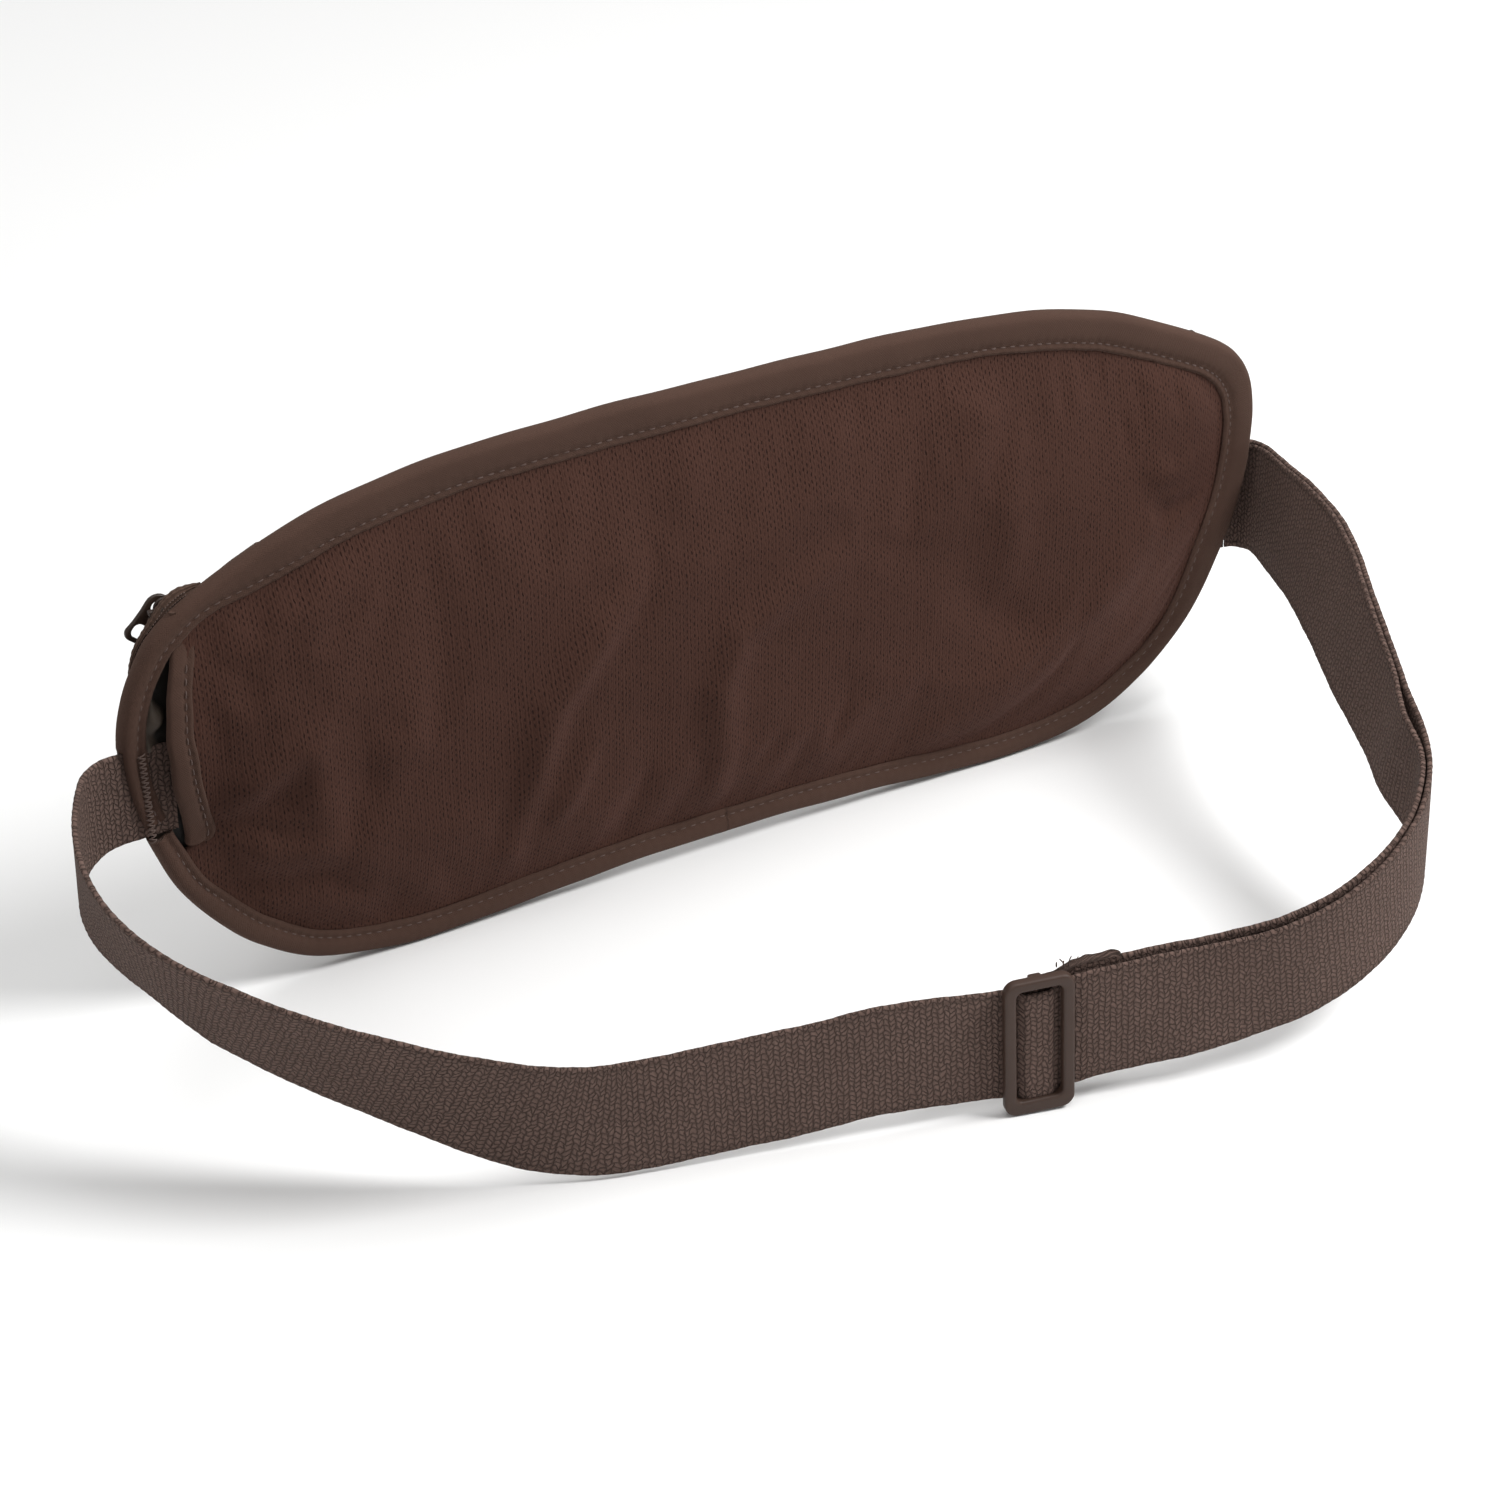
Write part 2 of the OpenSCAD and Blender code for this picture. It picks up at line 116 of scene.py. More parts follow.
# ------------------------------------------------------------------ shader graph
class Value:
    """A shader output; arithmetic on it adds Math nodes."""

    def __init__(self, graph, socket):
        self.graph = graph
        self.socket = socket

    def __add__(self, other):
        return self.graph.math("ADD", self, other)

    def __sub__(self, other):
        return self.graph.math("SUBTRACT", self, other)

    def __rsub__(self, other):
        return self.graph.math("SUBTRACT", other, self)

    def __mul__(self, other):
        return self.graph.math("MULTIPLY", self, other)

    def __truediv__(self, other):
        return self.graph.math("DIVIDE", self, other)

    def __mod__(self, other):
        return self.graph.math("MODULO", self, other)

    def __pow__(self, other):
        return self.graph.math("POWER", self, other)

    def __abs__(self):
        return self.graph.math("ABSOLUTE", self)


def sine(value):
    return value.graph.math("SINE", value)


def floor(value):
    return value.graph.math("FLOOR", value)


def fract(value):
    return value.graph.math("FRACT", value)


class Graph:
    """A material with one Principled shader, and short ways to add nodes."""

    def __init__(self, name):
        self.material = bpy.data.materials.new(name)
        self.material.use_nodes = True
        self.tree = self.material.node_tree
        self.tree.nodes.clear()
        output = self.node("OutputMaterial")
        self.shader = self.node("BsdfPrincipled")
        self.tree.links.new(self.shader.outputs[0], output.inputs[0])

    def node(self, kind, **settings):
        node = self.tree.nodes.new("ShaderNode" + kind)
        for key, setting in settings.items():
            setattr(node, key, setting)
        return node

    def feed(self, socket, value):
        if isinstance(value, Value):
            self.tree.links.new(value.socket, socket)
        else:
            socket.default_value = value

    def finish(self, **inputs):
        """Feed the Principled shader and return the material."""
        for key, value in inputs.items():
            self.feed(self.shader.inputs[key.replace("_", " ")], value)
        return self.material

    def math(self, operation, *values):
        node = self.node("Math", operation=operation)
        for socket, value in zip(node.inputs, values):
            self.feed(socket, value)
        return Value(self, node.outputs[0])

    def uv(self):
        """The UV vector and its two parts, all in mm."""
        uv = self.node("UVMap")
        parts = self.node("SeparateXYZ")
        self.tree.links.new(uv.outputs[0], parts.inputs[0])
        return [Value(self, out) for out in (uv.outputs[0], parts.outputs[0], parts.outputs[1])]

    def xyz(self, x, y, z):
        node = self.node("CombineXYZ")
        for socket, value in zip(node.inputs, (x, y, z)):
            self.feed(socket, value)
        return Value(self, node.outputs[0])

    def object_mm(self):
        """Object coordinates in mm."""
        coords = self.node("TexCoord")
        scaled = self.node("VectorMath", operation="SCALE")
        self.tree.links.new(coords.outputs["Object"], scaled.inputs[0])
        scaled.inputs["Scale"].default_value = 1000.0
        return Value(self, scaled.outputs[0])

    def noise(self, vector, scale, detail, rough=0.5):
        node = self.node("TexNoise")
        self.feed(node.inputs["Vector"], vector)
        node.inputs["Scale"].default_value = scale
        node.inputs["Detail"].default_value = detail
        node.inputs["Roughness"].default_value = rough
        return Value(self, node.outputs[0])

    def voronoi(self, vector, feature, randomness):
        node = self.node("TexVoronoi", voronoi_dimensions="2D", feature=feature)
        self.feed(node.inputs["Vector"], vector)
        node.inputs["Scale"].default_value = 1.0
        node.inputs["Randomness"].default_value = randomness
        return Value(self, node.outputs["Distance"])

    def white(self, vector):
        node = self.node("TexWhiteNoise", noise_dimensions="3D")
        self.feed(node.inputs["Vector"], vector)
        return Value(self, node.outputs["Value"])

    def smooth(self, value, start, end, low=0.0, high=1.0):
        """Smooth step from low to high as value goes from start to end."""
        node = self.node("MapRange", interpolation_type="SMOOTHSTEP")
        for socket, part in zip(node.inputs, (value, start, end, low, high)):
            self.feed(socket, part)
        return Value(self, node.outputs[0])

    def mix(self, factor, first, second):
        node = self.node("Mix", data_type="RGBA")
        self.feed(node.inputs["Factor"], factor)
        colours = [socket for socket in node.inputs if socket.type == "RGBA"]
        self.feed(colours[0], first)
        self.feed(colours[1], second)
        return Value(self, [out for out in node.outputs if out.type == "RGBA"][0])

    def shade(self, colour, value, low, high):
        """The colour scaled from low to high as value goes 0 to 1."""
        return self.mix(value, rgb(colour, low), rgb(colour, high))

    def bump(self, height, depth):
        """Normal from a height pattern depth mm deep."""
        node = self.node("Bump")
        node.inputs["Distance"].default_value = depth / 1000.0
        node.inputs["Strength"].default_value = 1.0
        self.feed(node.inputs["Height"], height)
        return Value(self, node.outputs[0])

    def stray(self, vector, u, v, scale, layer, amount_u, amount_v):
        """u and v pushed about by noise, so that a regular pattern looks uneven."""
        push_u = self.noise(vector, scale=scale, detail=2)
        push_v = self.noise(self.xyz(v, u, layer), scale=scale, detail=2)
        return u + (push_u - 0.5) * amount_u, v + (push_v - 0.5) * amount_v


def rgb(colour, factor=1.0):
    return (*(channel * factor for channel in colour), 1.0)


# ------------------------------------------------------------------ materials
def mesh_material(name, colour):
    """Fine ribs with staggered rows of oval holes, the holes painted dark as shade."""
    hole_pitch_u, hole_pitch_v = 0.94, 1.62
    hole_half_u, hole_half_v = 0.20, 0.32     # in pitches
    rib_pitch = 0.65
    g = Graph(name)
    vector, u, v = g.uv()
    u, v = g.stray(vector, u, v, scale=0.55, layer=7.0, amount_u=0.7, amount_v=1.1)
    across = u / hole_pitch_u
    column = floor(across)
    off_u = fract(across) - 0.5
    stagger = (abs(column) % 2.0) * 0.5
    along = v / hole_pitch_v + stagger
    row = floor(along)
    off_v = fract(along) - 0.5
    radius = (abs(off_u) / hole_half_u) ** 2.0 + (abs(off_v) / hole_half_v) ** 2.0
    cell = g.white(g.xyz(column, row, 3.0))
    hole = (g.smooth(radius, start=1.5, end=0.1)
            * g.smooth(cell, start=0.0, end=0.8, low=0.35, high=1.0))
    rib = sine(u * (2 * math.pi / rib_pitch)) * 0.12
    patch = g.noise(vector, scale=0.03, detail=3)
    fine = g.noise(vector, scale=1.6, detail=2)
    base = g.shade(colour, patch * 0.6 + fine * 0.4, low=0.80, high=1.22)
    # painted shade: the holes are darkened to a quarter of the colour
    base = g.mix(hole * 0.8, base, rgb(colour, 0.25))
    height = hole * -1.0 + (rib + fine * 0.5)
    return g.finish(
        Base_Color=base, Roughness=0.9, Normal=g.bump(height, depth=0.22), Sheen_Weight=0.06,
        Sheen_Roughness=0.5, Sheen_Tint=rgb((0.8, 0.35, 0.3)), Specular_IOR_Level=0.12)


def cloth_material(name, colour, fine_scale=2.4, sheen=0.08, rough=0.88, depth=0.10, spec=0.12,
                   painted_pocket_shade=False):
    """Tight plain weave with a soft nap."""
    weave_pitch = 0.62
    g = Graph(name)
    vector, u, v = g.uv()
    warp = sine(u * (2 * math.pi / weave_pitch))
    weft = sine(v * (2 * math.pi / weave_pitch))
    weave = warp * weft
    fine = g.noise(vector, scale=fine_scale, detail=3, rough=0.6)
    patch = g.noise(vector, scale=0.05, detail=3)
    grit = g.noise(vector, scale=5.5, detail=2, rough=0.7)
    tone = patch * 0.4 + (fine * 0.3 + g.smooth(grit, start=0.3, end=0.7) * 0.3)
    base = g.shade(colour, tone, low=0.66, high=1.36)
    height = weave * 0.35 + (fine * 1.3 + grit * 0.9)
    if painted_pocket_shade:
        # painted shade: past a wavy line near the pocket's mouth the lining is darkened to a tenth
        # of its colour, standing in for the shadow inside the pocket
        line = u + sine(v * 0.62) * 1.1
        base = g.mix(g.smooth(line, start=-141.2, end=-139.6), base, rgb(colour, 0.10))
    return g.finish(
        Base_Color=base, Roughness=rough, Normal=g.bump(height, depth), Sheen_Weight=sheen,
        Sheen_Roughness=0.45, Sheen_Tint=rgb((0.75, 0.55, 0.45)), Specular_IOR_Level=spec)


def webbing_material(name, colour):
    """Elastic webbing: rows of slanting knobs, uneven, with painted shade in the crevices and
    painted highlight on the knob middles.
    """
    pitch_u, pitch_v = 1.35, 1.30
    groove_v = 13.1          # the grooves by the selvages, from the middle
    irregular = 0.42         # randomness of the knob cells
    g = Graph(name)
    vector, u, v = g.uv()
    u, stray_v = g.stray(vector, u, v, scale=0.5, layer=5.0, amount_u=1.2, amount_v=1.2)
    across = u / pitch_u
    slant = abs(fract(across * 0.5) - 0.5) * 2.0
    along = stray_v / pitch_v + slant * 0.8
    place = g.xyz(across, along, 0.0)
    to_edge = g.voronoi(place, "DISTANCE_TO_EDGE", irregular)
    to_centre = g.voronoi(place, "F1", irregular)
    cell = g.white(g.xyz(floor(across), floor(along), 1.0))
    crevice = g.smooth(to_edge, start=0.17, end=0.0)
    knob = (1.0 - crevice) * g.smooth(to_centre, start=0.75, end=0.0, low=0.55, high=1.0)
    knob = knob * g.smooth(cell, start=0.0, end=1.0, low=0.78, high=1.0)
    fine = g.noise(vector, scale=3.2, detail=2)
    patch = g.noise(vector, scale=0.06, detail=3)
    groove = g.smooth(abs(abs(v) - groove_v), start=0.55, end=0.1)
    # painted shade and highlight: the colour is darkest in the crevices and lightest at the knob
    # middles
    tone = knob * 0.80 + (patch * 0.16 + fine * 0.18)
    base = g.shade(colour, tone, low=0.26, high=1.12)
    # painted shade: the grooves by the selvages are darkened
    base = g.mix(groove * 0.35, base, rgb(colour, 0.4))
    height = knob + (fine * 0.4 + groove * -0.6)
    return g.finish(
        Base_Color=base, Roughness=0.9, Normal=g.bump(height, depth=0.42), Sheen_Weight=0.06,
        Sheen_Roughness=0.5, Sheen_Tint=rgb((0.8, 0.6, 0.5)), Specular_IOR_Level=0.12)


def rib_material(name, colour):
    """Ribbed tape."""
    rib_pitch = 0.85
    g = Graph(name)
    vector, u, _ = g.uv()
    rib = sine(u * (2 * math.pi / rib_pitch))
    rib = rib * 0.5 + 0.5
    fine = g.noise(vector, scale=2.5, detail=3)
    # painted shade and highlight: the colour follows the ribs, darker in the hollows and lighter on
    # the crests
    base = g.shade(colour, rib * 0.55 + fine * 0.45, low=0.62, high=1.28)
    height = rib + fine * 0.6
    return g.finish(
        Base_Color=base, Roughness=0.85, Normal=g.bump(height, depth=0.22), Sheen_Weight=0.06,
        Sheen_Tint=rgb((0.8, 0.6, 0.5)), Specular_IOR_Level=0.12)


def hard_material(name, colour, rough, spec):
    """Plastic or painted metal with a faint grain."""
    g = Graph(name)
    vector = g.object_mm()
    patch = g.noise(vector, scale=0.8, detail=3)
    grain = g.noise(vector, scale=5.0, detail=2)
    return g.finish(
        Base_Color=g.shade(colour, patch, low=0.9, high=1.1),
        Roughness=g.smooth(patch, start=0.2, end=0.8, low=rough - 0.06, high=rough + 0.08),
        Normal=g.bump(grain, depth=0.03), Coat_Weight=0.0, Coat_Roughness=0.25,
        Specular_IOR_Level=spec)


def thread_material(name, colour):
    g = Graph(name)
    patch = g.noise(g.object_mm(), scale=2.5, detail=2)
    return g.finish(
        Base_Color=g.shade(colour, patch, low=0.75, high=1.25), Roughness=0.65,
        Sheen_Weight=0.1, Specular_IOR_Level=0.3)


MESH = mesh_material("mesh_fabric", (0.0555, 0.0252, 0.0180))
BIND = cloth_material("binding_fabric", (0.0660, 0.0365, 0.0270))
# the lining carries painted shade inside the pocket, past its mouth
LINING = cloth_material("lining_fabric", (0.078, 0.060, 0.046), fine_scale=3.5, sheen=0.05,
                        rough=0.55, depth=0.04, spec=0.3, painted_pocket_shade=True)
SHELL = cloth_material("shell_fabric", (0.074, 0.044, 0.035), fine_scale=3.0, rough=0.7,
                       depth=0.08, spec=0.35)
TAPE = rib_material("zip_tape", (0.074, 0.044, 0.032))
COIL = hard_material("zip_coil", (0.034, 0.021, 0.016), rough=0.4, spec=0.35)
METAL = hard_material("zip_metal", (0.030, 0.018, 0.013), rough=0.36, spec=0.35)
WEB = webbing_material("elastic_webbing", (0.130, 0.085, 0.071))
PLASTIC = hard_material("hardware_plastic", (0.048, 0.0270, 0.0195), rough=0.5, spec=0.28)
THREAD = thread_material("sewing_thread", (0.100, 0.064, 0.052))
THREAD_DARK = thread_material("binding_thread", (0.095, 0.060, 0.050))


# ------------------------------------------------------------------ mesh building
def build(name, points, faces, material, uv, slot, body="pouch", replaces=()):
    """A smooth object; uv has one pair for each point. A body of None is left to the caller."""
    mesh = bpy.data.meshes.new(name)
    points = to_world(np.reshape(points, (-1, 3)))
    mesh.from_pydata(points.tolist(), [], [tuple(int(i) for i in face) for face in faces])
    mesh.update()
    mesh.materials.append(material)
    layer = mesh.uv_layers.new(name="UVMap")
    corners = np.zeros(len(mesh.loops), np.int32)
    mesh.loops.foreach_get("vertex_index", corners)
    uv = np.reshape(uv, (-1, 2))
    layer.data.foreach_set("uv", uv[corners].astype(np.float32).ravel())
    mesh.polygons.foreach_set("use_smooth", np.full(len(mesh.polygons), True))
    obj = bpy.data.objects.new(name, mesh)
    bpy.context.scene.collection.objects.link(obj)
    if body:
        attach(obj, body)
    if replaces:
        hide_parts(*replaces)
    return obj


def grid(rows, columns, wrap=False, flip=False, base=0):
    """Quads over a grid of points, closed across its columns if wrap."""
    faces = []
    for i in range(rows - 1):
        low, high = base + i * columns, base + (i + 1) * columns
        for j in range(columns if wrap else columns - 1):
            k = (j + 1) % columns
            quad = (low + j, high + j, high + k, low + k)
            faces.append(quad[::-1] if flip else quad)
    return faces


def caps(rings, count, flip=False):
    """The two end faces of a wrapped grid."""
    first = tuple(range(count))
    last = tuple((rings - 1) * count + j for j in range(count))
    return [first, last[::-1]] if flip else [first[::-1], last]


def border(rows, columns):
    """Indices round the edge of a grid of points."""
    return ([i * columns for i in range(rows)]
            + [(rows - 1) * columns + j for j in range(1, columns)]
            + [i * columns + columns - 1 for i in range(rows - 2, -1, -1)]
            + [j for j in range(columns - 2, 0, -1)])


def grid_uv(u, v):
    return np.stack(np.broadcast_arrays(u, v), -1)


def tube(path, radius, sides=6, up=(0, 0, 1), taper=True):
    """Round bar along a path of points, narrowed at its ends if taper."""
    path = np.asarray(path, float)
    along = unit(np.gradient(path, axis=0))
    a = unit(np.cross(along, np.asarray(up, float)))
    b = np.cross(a, along)
    radii = np.full(len(path), float(radius))
    if taper:
        radii[[0, -1]] *= 0.35
    angle = (np.arange(sides) * 2 * math.pi / sides)[None, :, None]
    ring = np.cos(angle) * a[:, None] + np.sin(angle) * b[:, None]
    points = path[:, None] + radii[:, None, None] * ring
    faces = grid(len(path), sides, wrap=True) + caps(len(path), sides, flip=True)
    return points.reshape(-1, 3), faces


class Bag:
    """Collects parts into one mesh."""

    def __init__(self):
        self.points = []
        self.faces = []
        self.count = 0

    def add(self, points, faces):
        self.points.append(np.asarray(points, float))
        self.faces += [tuple(i + self.count for i in face) for face in faces]
        self.count += len(points)

    def stitch(self, start, end, out, radius=SEW_RADIUS, lift=0.16):
        """One stitch of thread from start to end, standing off the cloth along out."""
        start, end, out = np.asarray(start, float), np.asarray(end, float), unit(out)
        t = np.linspace(0, 1, 7)[:, None]
        arch = np.sin(math.pi * t) ** 0.6
        path = start + (end - start) * t + out * (lift * arch - 0.12 * (1 - arch))
        self.add(*tube(path, radius, up=out))

    def make(self, name, material, **options):
        points = np.concatenate(self.points)
        return build(name, points, self.faces, material, uv=points[:, [0, 2]], **options)


def arc(x, y, radius, start, sweep, steps):
    """Points round a centre, angles in degrees."""
    angles = [math.radians(start + sweep * k / steps) for k in range(steps + 1)]
    return [(x + radius * math.cos(a), y + radius * math.sin(a)) for a in angles]


def rounded(width, height, radius, steps=8, x=0.0, y=0.0):
    """Outline of a rectangle with rounded corners."""
    points = []
    for side_x, side_y, start in ((1, 1, 0), (-1, 1, 90), (-1, -1, 180), (1, -1, 270)):
        points += arc(x + side_x * (width / 2 - radius), y + side_y * (height / 2 - radius),
                      radius, start, 90, steps)
    return points


def plate(outline, holes=(), *, thick, bevel, res=3):
    """Flat plate with rounded edges: points (x, y, 0 to thick) and faces."""
    curve = bpy.data.curves.new("plate", "CURVE")
    curve.dimensions = "2D"
    curve.fill_mode = "BOTH"
    for ring in [outline, *holes]:
        spline = curve.splines.new("POLY")
        spline.points.add(len(ring) - 1)
        for point, (x, y) in zip(spline.points, ring):
            point.co = (x, y, 0, 1)
        spline.use_cyclic_u = True
    curve.extrude = max(thick / 2 - bevel, 0.0)
    curve.bevel_depth = bevel
    curve.bevel_resolution = res
    curve.offset = -bevel
    obj = bpy.data.objects.new("plate", curve)
    bpy.context.scene.collection.objects.link(obj)
    depsgraph = bpy.context.evaluated_depsgraph_get()
    mesh = bpy.data.meshes.new_from_object(obj.evaluated_get(depsgraph))
    points = np.array([vertex.co for vertex in mesh.vertices], float)
    polygons = [tuple(polygon.vertices) for polygon in mesh.polygons]
    bpy.data.objects.remove(obj)
    bpy.data.meshes.remove(mesh)
    bpy.data.curves.remove(curve)
    points[:, 2] += thick / 2
    # weld the separate parts of the curve's mesh together
    place, kept, welded = {}, [], []
    for i, point in enumerate(np.round(points, 4)):
        key = tuple(point)
        if key not in place:
            place[key] = len(kept)
            kept.append(i)
        welded.append(place[key])
    faces = []
    for polygon in polygons:
        face = []
        for i in polygon:
            if not face or face[-1] != welded[i]:
                face.append(welded[i])
        if face[0] == face[-1]:
            face = face[:-1]
        if len(set(face)) >= 3:
            faces.append(tuple(face))
    return points[kept], faces


def on_xz(points, top, x=0.0, z=0.0, turn=0.0):
    """Plate points laid on the x-z plane with the plate's +y face at top."""
    c, s = math.cos(turn), math.sin(turn)
    a, b, depth = points.T
    return np.stack([x + a * c - b * s, top - depth, z + a * s + b * c], -1)


def slab(outline, top, x=0.0, z=0.0, holes=(), **shape):
    """A plate laid on the x-z plane."""
    points, faces = plate(outline, holes, **shape)
    return on_xz(points, top, x, z), faces


# ------------------------------------------------------------------ pouch outline
# (x, z) from the middle of the bottom edge to the middle of the top; the shoulders differ
BOTTOM = [(0, 3.4), (20, 3.3), (41, 2.4), (62, 0.7), (86, 0.2), (107, 4.0), (121, 11.7),
          (131, 21.2), (138, 31.3), (143, 42), (147, 53), (149.3, 63), (150, 71)]
RIGHT_SHOULDER = [(150, 81), (147.4, 90.8), (141, 99), (128.4, 106.2)]
LEFT_SHOULDER = [(148.9, 80), (145.8, 89), (139.2, 98.6), (126.4, 107.3)]    # mirrored to -x
TOP = [(106, 116), (84, 121.2), (60, 123.9), (30, 124.8), (0, 125)]
KNOTS = np.array(BOTTOM + RIGHT_SHOULDER + TOP
                 + [(-x, z) for x, z in (BOTTOM + LEFT_SHOULDER + TOP)[-2:0:-1]], float)


def catmull(knots, steps):
    """Closed Catmull-Rom curve through the knots."""
    count, out = len(knots), []
    for i in range(count):
        a, b, c, d = knots[i - 1], knots[i], knots[(i + 1) % count], knots[(i + 2) % count]
        for t in np.arange(steps) / steps:
            out.append(0.5 * (2 * b + (c - a) * t + (2 * a - 5 * b + 4 * c - d) * t * t
                              + (3 * b - 3 * c + d - a) * t ** 3))
    return np.array(out)


RIM = catmull(KNOTS, 24)
RIM = np.vstack([RIM, RIM[:1]])
RIM_S = distances(RIM)
RIM_LENGTH = RIM_S[-1]


def rim_at(s):
    """(x, z) of the outline at distance s, counted from the bottom towards +x."""
    s = np.mod(s, RIM_LENGTH)
    return np.stack([np.interp(s, RIM_S, RIM[:, 0]), np.interp(s, RIM_S, RIM[:, 1])], -1)


def rim_in(s):
    """Inward direction of the outline at distance s."""
    along = unit(rim_at(np.asarray(s) + 0.8) - rim_at(np.asarray(s) - 0.8))
    return np.stack([-along[..., 1], along[..., 0]], -1)


def binding_width(rim):
    """Width of the binding: narrower at the -x end and along the bottom."""
    x, z = rim[..., 0], rim[..., 1]
    left = ease((-x - 105) / 30) * ease((z - 18) / 16) * ease((118 - z) / 14)
    return 9.5 - 3.5 * left - 2.2 * ease((44 - z) / 26) * (1 - left)


def inset_span(inset, x):
    """Lowest and highest z of the inset outline at each x, and its least and greatest x."""
    s = np.linspace(0, RIM_LENGTH, 2400, endpoint=False)
    rim = rim_at(s) + rim_in(s) * inset
    xs = rim[:, 0]
    upper = (s >= s[np.argmin(np.abs(xs - xs.max()))]) & (s <= s[np.argmin(np.abs(xs - xs.min()))])
    top, bottom = rim[upper], rim[~upper]
    top, bottom = top[np.argsort(top[:, 0])], bottom[np.argsort(bottom[:, 0])]
    return (np.interp(x, bottom[:, 0], bottom[:, 1]), np.interp(x, top[:, 0], top[:, 1]),
            xs.min(), xs.max())


_s = np.linspace(0, RIM_LENGTH, 900, endpoint=False)
INNER_NORMAL = rim_in(_s)
INNER_EDGE = rim_at(_s) + INNER_NORMAL * binding_width(rim_at(_s))[:, None]


def edge_distance(x, z):
    """Distance from the binding's inner edge, positive inside."""
    query = np.stack([x.ravel(), z.ravel()], -1)
    out = np.empty(len(query))
    batch = 4000
    for i in range(0, len(query), batch):
        offset = query[i:i + batch, None] - INNER_EDGE[None]
        nearest = np.argmin((offset ** 2).sum(-1), 1)
        offset = offset[np.arange(len(nearest)), nearest]
        side = np.sign((offset * INNER_NORMAL[nearest]).sum(-1))
        out[i:i + batch] = side * np.sqrt((offset ** 2).sum(-1))
    return out.reshape(x.shape)


# ------------------------------------------------------------------ cloth sheets
def fold(x, z, points, height, width):
    """A soft fold along a bent line; width on each side, fading at the ends."""
    points = np.asarray(points, float)
    run = distances(points)
    nearest = np.full(x.shape, 1e9)
    at = np.zeros(x.shape)
    for i in range(len(points) - 1):
        a = points[i]
        d = points[i + 1] - a
        t = np.clip(((x - a[0]) * d[0] + (z - a[1]) * d[1]) / (d @ d), 0, 1)
        gap = np.hypot(x - a[0] - t * d[0], z - a[1] - t * d[1])
        closer = gap < nearest
        nearest = np.where(closer, gap, nearest)
        at = np.where(closer, (run[i] + t * (run[i + 1] - run[i])) / run[-1], at)
    fade = 0.25 + 0.75 * np.sin(math.pi * np.clip(at, 0.02, 0.98)) ** 0.7
    return height * np.exp(-(nearest / width) ** 2) * fade


def columns(nx, nz, inset, start=None, z_low=-np.inf, z_high=np.inf):
    """Grid of x and z filling the inset outline, from x = start or from its -x end."""
    _, _, left, right = inset_span(inset, np.array([0.0]))
    left, right = left + 0.02, right - 0.02
    t = np.linspace(0, 1, nx)
    if start is None:
        x = left + (right - left) * (0.5 - 0.5 * np.cos(math.pi * t))
    else:
        x = start + (right - start) * (np.sin(t * math.pi / 2) * 0.5 + t * 0.5)
    low, high, _, _ = inset_span(inset, x)
    low, high = np.maximum(low, z_low), np.minimum(high, z_high)
    keep = high > low + 0.3
    x, low, high = x[keep], low[keep], high[keep]
    z = low[:, None] + (high - low)[:, None] * np.linspace(0, 1, nz)[None]
    return np.repeat(x[:, None], nz, 1), z


def sheet(name, x, y, z, thick, material, side, **options):
    """Cloth from a grid of points: outer face at y on the given side, edges closed."""
    nx, nz = x.shape
    count = nx * nz
    outer = np.stack([x, y, z], -1).reshape(-1, 3)
    inner = outer - side * thick * Y_AXIS
    faces = grid(nx, nz, flip=side > 0)
    faces += [tuple(i + count for i in face[::-1]) for face in faces]
    ring = border(nx, nz)
    for a, b in zip(ring, ring[1:] + ring[:1]):
        quad = (b, a, a + count, b + count)
        faces.append(quad[::-1] if side > 0 else quad)
    uv = grid_uv(x, z).reshape(-1, 2)
    return build(name, np.vstack([outer, inner]), faces, material, uv=np.vstack([uv, uv]),
                 **options)


def resample(values, nx, nz):
    """Grid values brought to another number of rows and columns."""
    i, j = np.linspace(0, 1, values.shape[0]), np.linspace(0, 1, values.shape[1])
    rows = np.array([np.interp(np.linspace(0, 1, nx), i, column) for column in values.T]).T
    return np.array([np.interp(np.linspace(0, 1, nz), j, row) for row in rows])


